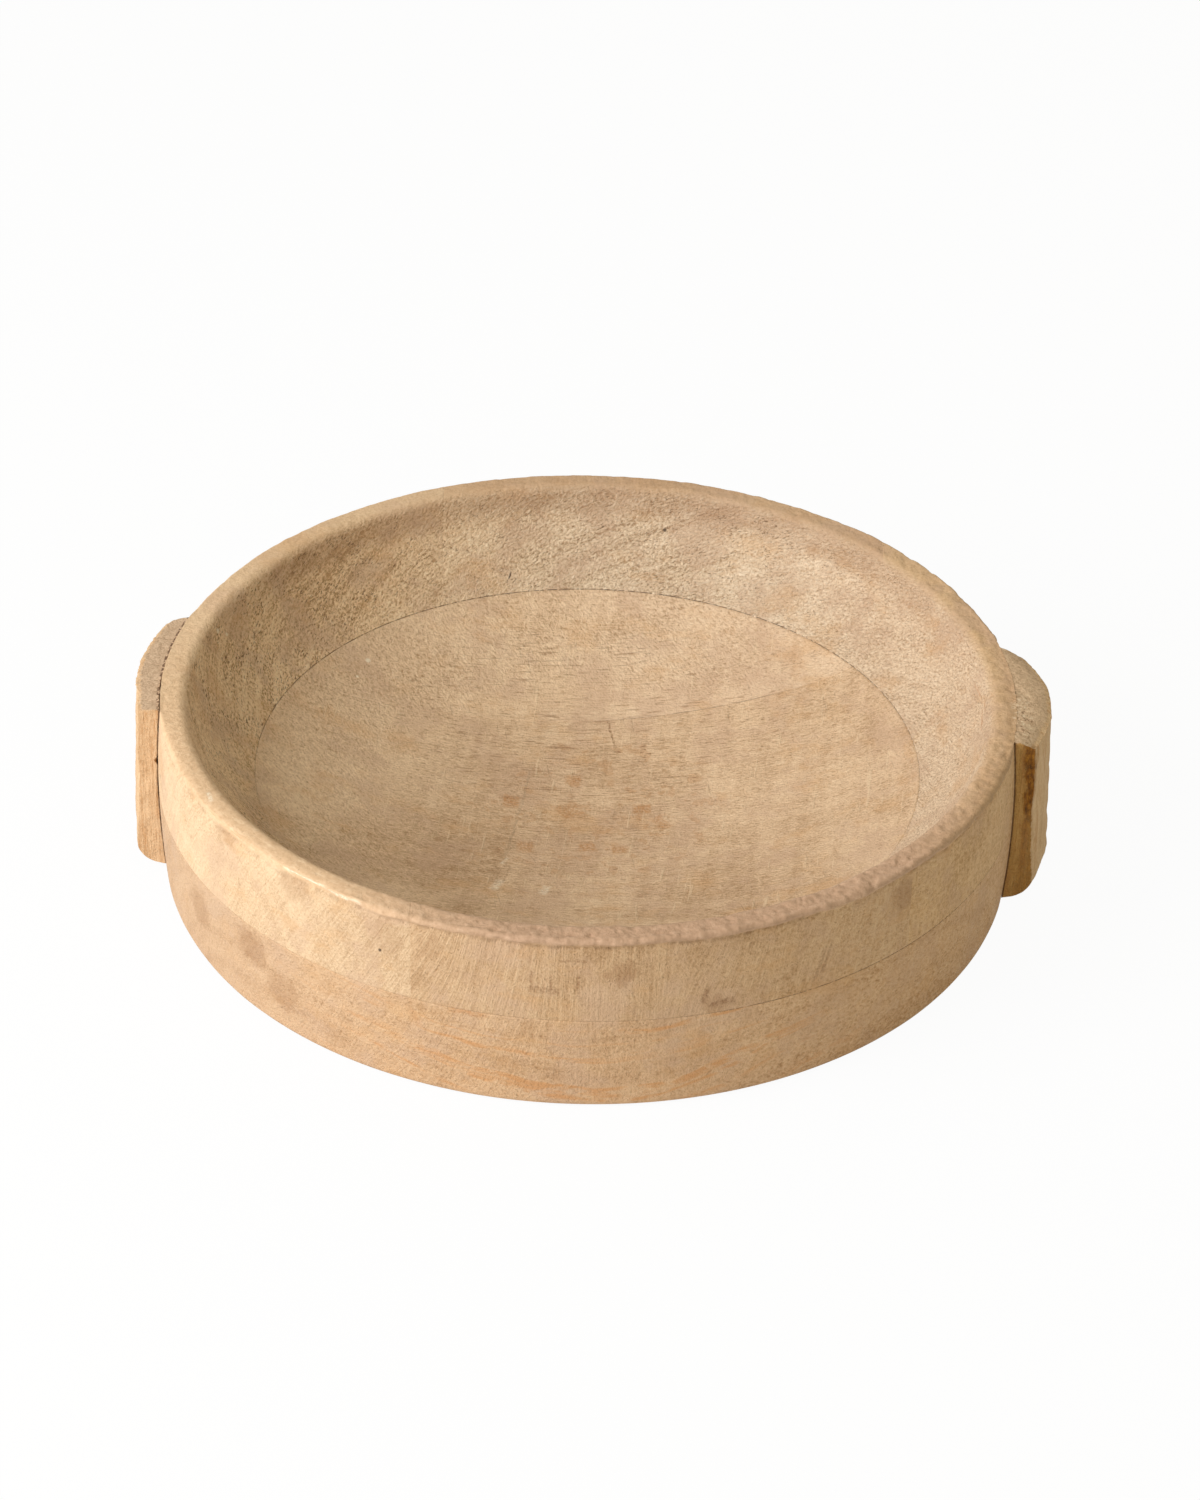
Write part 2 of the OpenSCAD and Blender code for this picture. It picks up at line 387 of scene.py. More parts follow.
def ring_board(name, slot, material, start, end):
    """A board of the ring: its section carried round between two joint planes.

    start and end give the angle of the joint plane at a radius, so each end of the board lies flat
    in its plane. Relief moves each point along the section's outward way. Where a handle is glued on,
    the wall is plain and the rim's edge is square, so that the handle's top runs on from the rim.
    """
    rows, length, inside, rim, free, seam, edge_at = ring_section()
    radius, height, way_r, way_z = (row[:, None] for row in rows)
    first, last = start(radius), end(radius)
    span = WALL_R * float(np.max(np.abs(last - first)))
    share = steps(span, start=True, end=True)[None, :]
    angle = first + (last - first) * share
    points = around(radius, angle, height)
    joint = 0.3 * (groove(share * span) + groove((1 - share) * span))
    glued = held(angle)
    plain = 1 - glued * np.clip(way_r, 0, 1)
    corner = EDGE_R * (1 / np.maximum(np.maximum(way_r, way_z), 0.5) - 1) * (way_r > 0)
    edge, crease = rim_edge(points, angle, length[:, None], edge_at)
    lumpy = (0.3 + 0.7 * plain) * rim_relief(points, angle)
    move = free[:, None] * (plain * turned_relief(points) + (1 - glued) * edge - joint)
    move = move + rim[:, None] * lumpy + glued * corner - seam[:, None]
    points = around(radius + move * way_r, angle, height + move * way_z)
    lay = np.stack(np.broadcast_arrays(angle * WALL_R, length[:, None]), axis=-1)
    skin = Skin(*RING_MARKS)
    index = skin.add(points, lay, (inside[:, None], rim[:, None], crease * (1 - glued)))
    closing = np.stack([index[-1, :-1], index[0, :-1], index[0, 1:], index[-1, 1:]], axis=-1)
    skin.faces += closing.tolist()
    skin.cap(index[:, 0])
    skin.cap(index[::-1, -1])
    return skin.piece(name, [name.replace("_wood", "_board")], slot, material)


# Boards of the base

def base_board(name, slot, material, side):
    """A board of the base, on one side of the turned joint: side -1 is the front board, 1 the rear one.

    The floor is drawn from an inner point out to its border, which is the seam circle's arc and the joint's
    chord. The glue face, wall, foot and underside are rows of arcs that end on the joint plane.
    """
    across = np.array([-math.sin(BASE_JOINT_TURN), math.cos(BASE_JOINT_TURN)])

    def angle_at(radius, share):
        half = np.arcsin(BASE_JOINT_Y / radius)
        span = math.pi - 2 * half if side > 0 else -(math.pi + 2 * half)
        return half + share * span + BASE_JOINT_TURN

    def border(radius, share, chord):
        """Plan of a border: an arc by shares of its angle, then the chord back by even steps."""
        arc = around(radius, angle_at(radius, share), 0)[:, :2]
        back = arc[-1] + (arc[0] - arc[-1]) * chord[1:-1, None]
        return np.concatenate([arc, back])

    inner = BOARD_MIDDLE[side] * across
    arc_len = SEAM_R * abs(float(np.diff(angle_at(SEAM_R, np.array([0, 1])))[0]))
    share = steps(arc_len, start=True, end=True, pitch=BORDER_STEP)
    chord = steps(2 * math.sqrt(SEAM_R**2 - BASE_JOINT_Y**2), pitch=BORDER_STEP)
    skin = Skin("inside")

    def loft(rim_plan, out_shares):
        plan = inner + (np.concatenate([rim_plan, rim_plan[:1]])[None] - inner) * out_shares[:, None, None]
        return plan, np.hypot(plan[..., 0], plan[..., 1])

    # Floor of the hollow
    out = steps(BOARD_REACH[side], end=True, pitch=FLOOR_STEP)
    plan, radius = loft(border(SEAM_R, share, chord), out)
    floor = np.concatenate([plan, floor_height(np.minimum(radius, SEAM_R))[..., None]], axis=-1)
    joint_gap = np.abs(BASE_JOINT_Y - plan @ across)
    move = eased(SEAM_R - radius, 0, JOINT_FADE) * (turned_relief(floor) - groove(joint_gap))
    floor[..., 2] += move - groove(SEAM_R - radius)
    skin.add(floor, None, [1.0])

    # Glue face, wall and foot
    drop = SEAM_Z - (SEAM_Z - FOOT_R) * steps(SEAM_Z - FOOT_R, start=True)
    wall = np.stack([wall_radius(drop), drop, 1 + 0 * drop, 0 * drop])
    foot_x = wall_radius(FOOT_R) - FOOT_R
    foot = arc_rows(foot_x, FOOT_R, FOOT_R, 0, -math.pi / 2, np.linspace(0, 1, FOOT_ROWS))
    rows = np.concatenate([wall, foot[:, 1:]], axis=1)
    length = np.concatenate([[0], np.cumsum(np.hypot(np.diff(rows[0]), np.diff(rows[1])))])[:, None]
    row_r, row_z, way_r, way_z = (row[:, None] for row in rows)
    angle = angle_at(row_r, share[None, :])
    points = around(row_r, angle, row_z)
    span = WALL_R * float(np.max(np.abs(angle[0] - angle[0, 0])))
    joint = groove(share * span) + groove((1 - share) * span)
    fade = eased(length, 0, JOINT_FADE) * eased(row_z, 0, FOOT_FADE)
    move = fade * ((1 - held(angle)) * turned_relief(points) - joint) - groove(length)
    points = around(row_r + move * way_r, angle, row_z + move * way_z)
    lay = np.stack(np.broadcast_arrays(angle * WALL_R, length), axis=-1)
    wall_index = skin.add(points, lay)
    top_edge = floor[-1, : len(share)]
    middle = 0.5 * (top_edge + points[0])
    middle[:, 2] = SEAM_Z
    glue_index = skin.add(np.stack([top_edge, middle, points[0]]))

    # Underside
    plan, _ = loft(border(foot_x, share, chord), np.array([0, 0.5, 1.0]))
    under = np.concatenate([plan, np.zeros(plan.shape[:2] + (1,))], axis=-1)
    skin.add(under)

    # Joint face: floor chord down to the underside's chord, with the wall's section at each end
    face = slice(len(share) - 1, None)
    skin.add(np.stack([floor[-1, face], under[-1, face]]))
    for end in (0, -1):
        skin.cap(np.concatenate([glue_index[:-1, end], wall_index[:, end]]))
    return skin.piece(name, [name.replace("_wood", "_board")], slot, material)


# Handles

HANDLE_MARKS = ("top", "end")
GLUE_HOLE_Z = 52 * MM
GLUE_HOLE_R = 1.5 * MM
GLUE_HOLE_W = 1.5 * MM
TOP_LAP = 0.4 * MM
TOP_FADE = 3 * MM
TOP_FALL = 0.3 * MM
TOP_DROOP = 1.5 * MM
TOP_RISE = 0.05 * MM
END_FADE = 4 * MM


def rounding(depth, radius):
    """How far an edge rounded by a quarter circle falls back, at a depth into its radius."""
    return radius - np.sqrt(radius**2 - np.clip(depth, 0, radius) ** 2)


def handle(name, node, slot, material, thick, turn, mirrored):
    """A handle block: a box bent to the wall, with a crowned outer face that leans in to its top.

    A point is set by its share of the length, of the thickness and of the height. Across the thickness
    it runs straight from the coped inner face to the crown; the crown's radius shrinks with the height,
    round the foot and the top edge, and the rear end rounds in to the wall. The mirrored one is the left
    handle: its top is sawn flat, and its glue line is open in dots, with a hole at the front end. The right
    one's glue line is filled, and its top runs on from the rim and falls away outwards.
    """
    half = HANDLE_LEN / 2
    seat_x = math.sqrt(WALL_R**2 - half**2)
    sag = WALL_R + thick - seat_x - HANDLE_END_T
    crown_r = (half**2 + sag**2) / (2 * sag)
    crown_x = WALL_R + thick - crown_r
    tall = HANDLE_TOP_Z - HANDLE_FOOT_Z
    rear_y = half - HANDLE_REAR_R
    rear_x = crown_x + math.sqrt((crown_r - HANDLE_REAR_R) ** 2 - rear_y**2)

    def glue_gap(y, z):
        """Width of the glue line: a hair where filled, uneven where open; the filler laps the rim."""
        if not mirrored:
            return FILLED_GAP + 0 * y - TOP_LAP * eased(z, HANDLE_TOP_Z - 1.2 * MM, HANDLE_TOP_Z)
        uneven = np.maximum(lumps(np.stack([0 * y, y, z], axis=-1), 2.4 * MM, 28) + 0.2, 0)
        hole = bell(np.hypot(y + half, z - GLUE_HOLE_Z), GLUE_HOLE_R)
        return FILLED_GAP + GLUE_GAP * (0.4 + uneven) + GLUE_HOLE_W * hole

    def block(along, through, up):
        """Points of the block at shares of its length, thickness and height."""
        along, through, up = np.broadcast_arrays(along, through, up)
        y = -half + HANDLE_LEN * along
        rise = tall * up
        lean = rise * HANDLE_TAPER / tall
        foot = rounding(HANDLE_FOOT_R - rise, HANDLE_FOOT_R)
        top = rounding(HANDLE_TOP_R - (tall - rise), HANDLE_TOP_R)
        back = lean + foot + top
        crown = crown_x + np.sqrt((crown_r - back) ** 2 - y**2)
        rear = rear_x + np.sqrt(np.maximum(HANDLE_REAR_R**2 - np.maximum(y - rear_y, 0) ** 2, 0)) - back
        outer = np.where(y > rear_y, np.minimum(crown, rear), crown)
        z = HANDLE_FOOT_Z + rise
        wall = np.sqrt((wall_radius(z) + glue_gap(y, z)) ** 2 - y**2)
        x = wall + through * np.maximum(outer - wall, 0.4 * MM)
        return np.stack([x, y, z], axis=-1)

    def roughened(points, through):
        """Hand work on the block: uneven faces, nicked edges, teeth along the top's outer edge."""
        top = eased(points[..., 2], HANDLE_TOP_Z - TOP_FADE, HANDLE_TOP_Z)
        teeth = top * waves(points, SAWN_TEETH if mirrored else SANDED_TEETH)
        moved = points.copy()
        moved[..., 0] += through * (waves(points, HANDLE_WAVES) + teeth - 0.7 * nicks(points, HANDLE_NICKS))
        end = 1 - eased(points[..., 1] + half, 0, END_FADE)
        moved[..., 1] += end * waves(points, HANDLE_END_WAVES)
        rough = waves(points, HANDLE_TOP_WAVES)
        lift = rough - TOP_FALL * through
        if not mirrored:
            level = points.copy()
            level[..., 2] = RIM_Z
            rim = RIM_Z - HANDLE_TOP_Z + rim_relief(level, np.arctan2(points[..., 1], points[..., 0]))
            fall = TOP_FALL * through + TOP_DROOP * through**3 - TOP_RISE
            lift = rim * (1 - through) + rough * through - fall
        moved[..., 2] += top * lift
        return moved

    across = np.linspace(0, 1, HANDLE_ROWS)
    length = steps(HANDLE_LEN, pitch=HANDLE_STEP)
    height = steps(tall, pitch=HANDLE_RISE_STEP)
    skin = Skin(*HANDLE_MARKS)

    def face(along, through, up):
        """Adds one face: the shares that it keeps are numbers, the ones that it spans are rows or columns."""
        points = roughened(block(along, through, up), np.broadcast_arrays(along, through, up)[1])
        spin = math.cos(turn), math.sin(turn)
        x = points[..., 0] * spin[0] - points[..., 1] * spin[1]
        y = points[..., 0] * spin[1] + points[..., 1] * spin[0]
        top = eased(points[..., 2], HANDLE_TOP_Z - 2.6 * MM, HANDLE_TOP_Z - 1.4 * MM) * (np.ndim(up) == 0)
        end = float(np.ndim(along) == 0 and along == 0)
        skin.add(np.stack([-x if mirrored else x, y, points[..., 2]], axis=-1), None, (top, end))

    face(length[None, :], 1.0, height[:, None])
    face(length[None, :], 0.0, height[:, None])
    for end in (0.0, 1.0):
        face(length[None, :], across[:, None], end)
        face(end, across[None, :], height[:, None])
    return skin.piece(name, [node], slot, material)


# Finishes: a number that stands before a pattern is its weight, and lengths are millimetres

def paint(red, green, blue):
    """Linear colour, with alpha, of a colour written in bytes."""
    share = np.array([red, green, blue]) / 255
    linear = np.where(share <= 0.04045, share / 12.92, ((share + 0.055) / 1.055) ** 2.4)
    return (*linear.tolist(), 1.0)


class Field:
    """One socket of a node tree; arithmetic on it adds Math nodes."""

    def __init__(self, tree, socket):
        self.tree = tree
        self.socket = socket

    def math(self, operation, first, second=0.0):
        node = self.tree.nodes.new("ShaderNodeMath")
        node.operation = operation
        for socket, value in zip(node.inputs, (first, second)):
            plug(self.tree, socket, value)
        return Field(self.tree, node.outputs[0])

    def __add__(self, other):
        return self.math("ADD", self, other)

    def __radd__(self, other):
        return self.math("ADD", other, self)

    def __sub__(self, other):
        return self.math("SUBTRACT", self, other)

    def __rsub__(self, other):
        return self.math("SUBTRACT", other, self)

    def __mul__(self, other):
        return self.math("MULTIPLY", self, other)

    def __rmul__(self, other):
        return self.math("MULTIPLY", other, self)

    def __truediv__(self, other):
        return self.math("DIVIDE", self, other)

    def __pow__(self, other):
        return self.math("POWER", self, other)

    def size(self):
        return self.math("ABSOLUTE", self)

    def most(self, other):
        return self.math("MAXIMUM", self, other)


def plug(tree, socket, value):
    """Links a field to a socket, or sets the socket's own value."""
    if isinstance(value, Field):
        tree.links.new(value.socket, socket)
    else:
        socket.default_value = value


class Tree:
    """A node tree in the making: fields of it, and the few patterns that all finishes share."""

    def __init__(self, tree):
        self.tree = tree

    def node(self, kind, settings, links, out=0):
        """Adds a node: its settings or a ramp's stops first, then its sockets' fields or values."""
        node = self.tree.nodes.new(kind)
        for key, value in settings.items():
            if key == "stops":
                while len(node.color_ramp.elements) < len(value):
                    node.color_ramp.elements.new(1.0)
                for element, (place, colour) in zip(node.color_ramp.elements, value):
                    element.position = place
                    element.color = colour
            else:
                setattr(node, key, value)
        for key, value in links.items():
            plug(self.tree, node.inputs[key], value)
        outs = [Field(self.tree, node.outputs[key]) for key in (out if isinstance(out, tuple) else (out,))]
        return outs if isinstance(out, tuple) else outs[0]

    def mix(self, first, second, share):
        """Colour between two, by a share."""
        return self.node("ShaderNodeMix", {"data_type": "RGBA"}, {0: share, 6: first, 7: second}, 2)

    def seen(self):
        """1 for what the camera sees, straight or by way of gloss and glass."""
        rays = ("Is Camera Ray", "Is Glossy Ray", "Is Transmission Ray")
        camera, gloss, glass = self.node("ShaderNodeLightPath", {}, {}, rays)
        return camera.most(gloss).most(glass)


class Finish(Tree):
    """A material in the making: its shader, and the places that a pattern reads, in millimetres."""

    def __init__(self, name):
        self.material = bpy.data.materials.new(name)
        self.material.use_nodes = True
        super().__init__(self.material.node_tree)
        self.shader = self.tree.nodes["Principled BSDF"]
        self.place = self.millimetres("Object")
        self.x, self.y, self.z = self.node("ShaderNodeSeparateXYZ", {}, {0: self.place}, (0, 1, 2))
        self.u, self.v = self.node("ShaderNodeSeparateXYZ", {}, {0: self.millimetres("UV")}, (0, 1))

    def millimetres(self, kind):
        """A place on the surface, turned from metres to millimetres."""
        place = self.node("ShaderNodeTexCoord", {}, {}, kind)
        return self.node("ShaderNodeVectorMath", {"operation": "SCALE"}, {"Vector": place, "Scale": 1 / MM})

    def mark(self, name):
        """A mark that the piece's mesh carries."""
        return self.node("ShaderNodeAttribute", {"attribute_name": name}, {}, "Fac")

    def noise(self, x, y, z, detail=2.0, rough=0.5, warp=0.0):
        """Noise from 0 to 1 with cells one unit wide in the given fields."""
        place = self.node("ShaderNodeCombineXYZ", {}, {0: x, 1: y, 2: z})
        links = {"Vector": place, "Scale": 1.0, "Detail": detail, "Roughness": rough, "Distortion": warp}
        return self.node("ShaderNodeTexNoise", {}, links)

    def grain(self, x, y, z, detail=3.0, rough=0.7, warp=0.0, shift=0.0):
        """Noise from -0.5 to 0.5 on the piece's own place, with cells of the given sizes."""
        return self.noise(self.x / x + shift, self.y / y, self.z / z, detail, rough, warp) - 0.5

    def step(self, value, low, high):
        """Smooth step from 0 at low to 1 at high."""
        links = {"Value": value, "From Min": low, "From Max": high}
        return self.node("ShaderNodeMapRange", {"interpolation_type": "SMOOTHSTEP"}, links)

    def toned(self, shade, tones):
        """Colour of a shade from 0, dark, to 1, pale, through three tones."""
        return self.node("ShaderNodeValToRGB", {"stops": list(zip((0.0, 0.5, 1.0), tones))}, {0: shade})

    def spot(self, middle, reach):
        """Soft patch: 1 at a place, falling to 0 at its reach along each axis."""
        parts = zip((self.x, self.y, self.z), middle, reach)
        near_x, near_y, near_z = (((field - at) / far) ** 2.0 for field, at, far in parts)
        return 1 - self.step(near_x + near_y + near_z, 0.0, 1.0)

    def done(self, colour, roughness, height, depth):
        """Plugs colour, roughness and relief into the shader."""
        bump = self.node("ShaderNodeBump", {}, {"Height": height, "Strength": 1.0, "Distance": depth})
        for socket, value in (("Base Color", colour), ("Roughness", roughness), ("Normal", bump)):
            plug(self.tree, self.shader.inputs[socket], value)
        self.shader.inputs["Specular IOR Level"].default_value = WOOD_SPECULAR
        return self.material


# Strokes: length, width and the level of the noise that they start at
PORE = (2.4, 0.5, 0.63)
RIM_NICK = (2.2, 0.6, 0.67)
FLOOR_DASH = (8.0, 0.6, 0.60)
STIPPLE = (1.4, 0.7, 0.61)
FIBRE = (3.6, 0.9, 0.61)
GRAIN_LINE = (14.0, 1.1, 0.60)
PALE_STROKE = (20.0, 1.3, 0.62)
GREY_STROKE = (16.0, 1.2, 0.66)
PIT = (0.9, 0.9, 0.69)

# Soft patches: the middle and the reach along X, Y and Z
COMBED_WALL = ((-50.0, -155.0, 60.0), (60.0, 60.0, 60.0))
WORN_AND_LIT_RIM = ((-112.0, -122.0, 76.0), (62.0, 56.0, 40.0))
CRUMBLED_RIM = ((169.0, -14.0, 76.0), (5.0, 24.0, 6.0))
CRUMBLED_TOP = ((170.0, -16.0, 75.0), (5.5, 24.0, 8.0))
FLOOR_MIDDLE = ((4.0, 8.0, 10.0), (62.0, 62.0, 60.0))
FLOOR_FRONT = ((6.0, -40.0, 14.0), (85.0, 62.0, 60.0))
FLOOR_REAR = ((0.0, 66.0, 18.0), (110.0, 62.0, 60.0))
CLEAR_JOINT = ((48.0, 70.0, 16.0), (56.0, 40.0, 40.0))

# Stretches along X over which one look passes into the next
PORED_LEFT = (-130.0, -50.0)
SMOOTH_RIGHT = (60.0, 140.0)
SPECKLED_RIGHT = (10.0, 110.0)
WARM_SHADE_RIGHT = (20.0, 140.0)
INNER_LEFT_TO_REAR = (-110.0, 10.0)
INNER_REAR_TO_RIGHT = (40.0, 130.0)
RIM_PALE_TO_PINK = (-110.0, -20.0)
RIM_RIGHT = (110.0, 160.0)
NICKED_LEFT = (-110.0, -30.0)
END_GRAIN = (-95.0, -25.0)
FLOOR_LEFT_TO_RIGHT = (-30.0, 30.0)
GREY_LEFT = (-150.0, -60.0)
FLAMED_FRONT = (60.0, 130.0)

# Stretches along Y, Z, the radius and a slanting way
RIM_FRONT = (-50.0, 60.0)
RIM_DARK_FRONT = (-25.0, 25.0)
UNDER_RIM_REAR = (40.0, 110.0)
UNDER_RIM_RISE = (63.0, 70.0)
TORN_RADIUS = (66.0, 100.0)
TORN_SIDE = (-30.0, 60.0)

# Cosine and sine of the turn of the torn grain at the floor's rear left
TORN_TURN = (0.64, 0.77)

# Gloss of bare wood
WOOD_SPECULAR = 0.35


def growth(f, along, side, up, heart, seed):
    """Growth rings, fine and broad: noise along the distance from the tree's heart.

    The heart lies along the grain, at a place given across and up.
    """
    ring = ((side - heart[0]) ** 2.0 + (up - heart[1]) ** 2.0) ** 0.5
    ring = ring + 16 * f.noise(along / 70 + seed, side / 40, up / 40, 2.0)
    fine = f.noise(ring / 5, along / 260, seed, 3.0, 0.6)
    broad = f.noise(ring / 26, along / 300, seed + 3, 1.0)
    return fine - 0.5, broad - 0.5


def strokes(f, along, side, up, length, width, low, seed):
    """Mask of sparse strokes: noise stretched along a way, above a level."""
    return f.step(f.noise(along / length + seed, side / width, up / width, 1.0), low, low + 0.13)


def ground(f, along, side, heart, seed):
    """What all boards share: fine and broad growth rings, blotches, grit and a mask of pits."""
    fine, broad = growth(f, along, side, f.z, heart, seed)
    blotch = f.grain(16, 16, 16, rough=0.6)
    grit = f.grain(0.9, 0.9, 0.9, detail=2.0)
    return fine, broad, blotch, grit, strokes(f, f.x, f.y, f.z, *PIT, seed)


def sanding(f, seed):
    """Sanding lines on the outer wall, fine and wide: streaks that lean most at the left."""
    left = 1 - f.step(f.x, -60.0, 0.0)
    right = f.step(f.x, 15.0, 60.0) * (1 - f.step(f.x, 95.0, 140.0))
    lean = 0.55 * left + 0.3 * right + 0.5 * (f.noise(f.u / 30 + seed, 0.0, 0.0, 0.0) - 0.5)
    across = f.u - lean * (f.z - SEAM_Z / MM)
    combed = 0.8 + 0.2 * f.spot(*COMBED_WALL)
    fine = f.noise(across / 0.9, f.z / 13, seed, 3.0, 0.7, 0.25)
    wide = f.noise(across / 3.5, f.z / 26, seed + 2, 2.0)
    return (fine - 0.5) * combed, wide - 0.5


def seam_line(f, inside):
    """Hairline glue joint of the two layers, thinner and broken here and there, plainest on the right."""
    wide = 0.04 + 0.28 * f.noise(f.x / 5, f.y / 5, 0.0, 3.0, 0.6)
    line = 1 - f.step((f.z - SEAM_Z / MM).size(), 0.4 * wide, wide)
    broken = f.step(f.noise(f.x / 2, f.y / 2, 4.0, 3.0, 0.6), 0.36, 0.52)
    outer = 0.2 + 0.6 * f.step(f.x, 20.0, 80.0)
    inner = 0.6 + 0.25 * f.step(f.y, -40.0, 40.0)
    return line * broken * (inner * inside + outer * (1 - inside))


def stained(f, colour, stain, places):
    """Lays a stain on ragged patches: each place is x, y, z, a reach in millimetres and a strength."""
    noise = {"Vector": f.place, "Scale": 0.25, "Detail": 4.0, "Roughness": 0.6}
    ragged = f.node("ShaderNodeTexNoise", {}, noise, "Color")
    shift = {0: ragged, 1: (14, 14, 14), 2: f.place}
    moved = f.node("ShaderNodeVectorMath", {"operation": "MULTIPLY_ADD"}, shift)
    for x, y, z, reach, share in places:
        ends = {0: moved, 1: (x + 7, y + 7, z + 7)}
        far = f.node("ShaderNodeVectorMath", {"operation": "DISTANCE"}, ends, "Value")
        colour = f.mix(colour, stain, (1 - f.step(far, reach * 0.45, reach)) * share)
    return colour


def scored(f, colour, lines):
    """Draws broken lines on the lay.

    Each is u, v, half a length, half a width, a turn in degrees, a colour and a strength.
    """
    wobble = 2.0 * (f.noise(f.u / 3, f.v / 3, 0.0, 3.0, 0.6) - 0.5)
    broken = 0.3 + 0.7 * f.step(f.noise(f.u / 1.3, f.v / 1.3, 3.0, 2.0, 0.6), 0.40, 0.60)
    for u, v, half, width, turn, tint, share in lines:
        way_u, way_v = math.cos(math.radians(turn)), math.sin(math.radians(turn))
        along = way_u * (f.u - u) + way_v * (f.v - v)
        off = way_u * (f.v - v) - way_v * (f.u - u) + wobble
        line = (1 - f.step(along.size(), 0.6 * half, half)) * (1 - f.step(off.size(), 0.3 * width, width))
        colour = f.mix(colour, tint, line * broken * share)
    return colour


def warm_shaded_side(f, colour, outside):
    """Painted shade: the outer wall's right side, which faces away from the light, a little warmer and more
    yellow.
    """
    return f.mix(colour, SHADE_WARMTH, f.step(f.x, *WARM_SHADE_RIGHT) * outside * 0.28)


def light_and_tone_drifts(f, places):
    """Shift of the shade by broad drifts, partly painted light and shade and partly tone: each place is x, y,
    z, a reach in millimetres and a shift.
    """
    shift = 0.0
    for x, y, z, reach, amount in places:
        shift = shift + f.spot((x, y, z), (reach, reach, reach)) * amount
    return shift


def dabbed(f, colour, places):
    """Lays small sharp dabs: each place is x, y, z, a radius in millimetres and a colour."""
    for x, y, z, radius, dab in places:
        colour = f.mix(colour, dab, f.spot((x, y, z), (radius, radius, radius)) * 0.85)
    return colour


def veiled(f, colour):
    """Drifts of grey and of orange in the wood's colour, which run on from board to board."""
    grey = f.step(f.noise(f.x / 22 + 1.3, f.y / 22, f.z / 22, 4.0, 0.65), 0.46, 0.64)
    orange = f.step(f.noise(f.x / 26, f.y / 18 + 1.3, f.z / 12, 4.0, 0.65), 0.50, 0.70)
    return f.mix(f.mix(colour, VEIL_GREY, grey * 0.5), VEIL_ORANGE, orange * 0.35)


def crumbled(f, colour, mask):
    """Crumbly filler in a joint: pale crumbs and dark holes within a mask."""
    crumb = f.noise(f.x / 2.0, f.y / 2.0, f.z / 2.0, 3.0, 0.7)
    colour = f.mix(colour, CRUMB, f.step(crumb, 0.54, 0.62) * mask * 0.6)
    return f.mix(colour, PORE_BROWN, (1 - f.step(crumb, 0.36, 0.44)) * mask * 0.8)


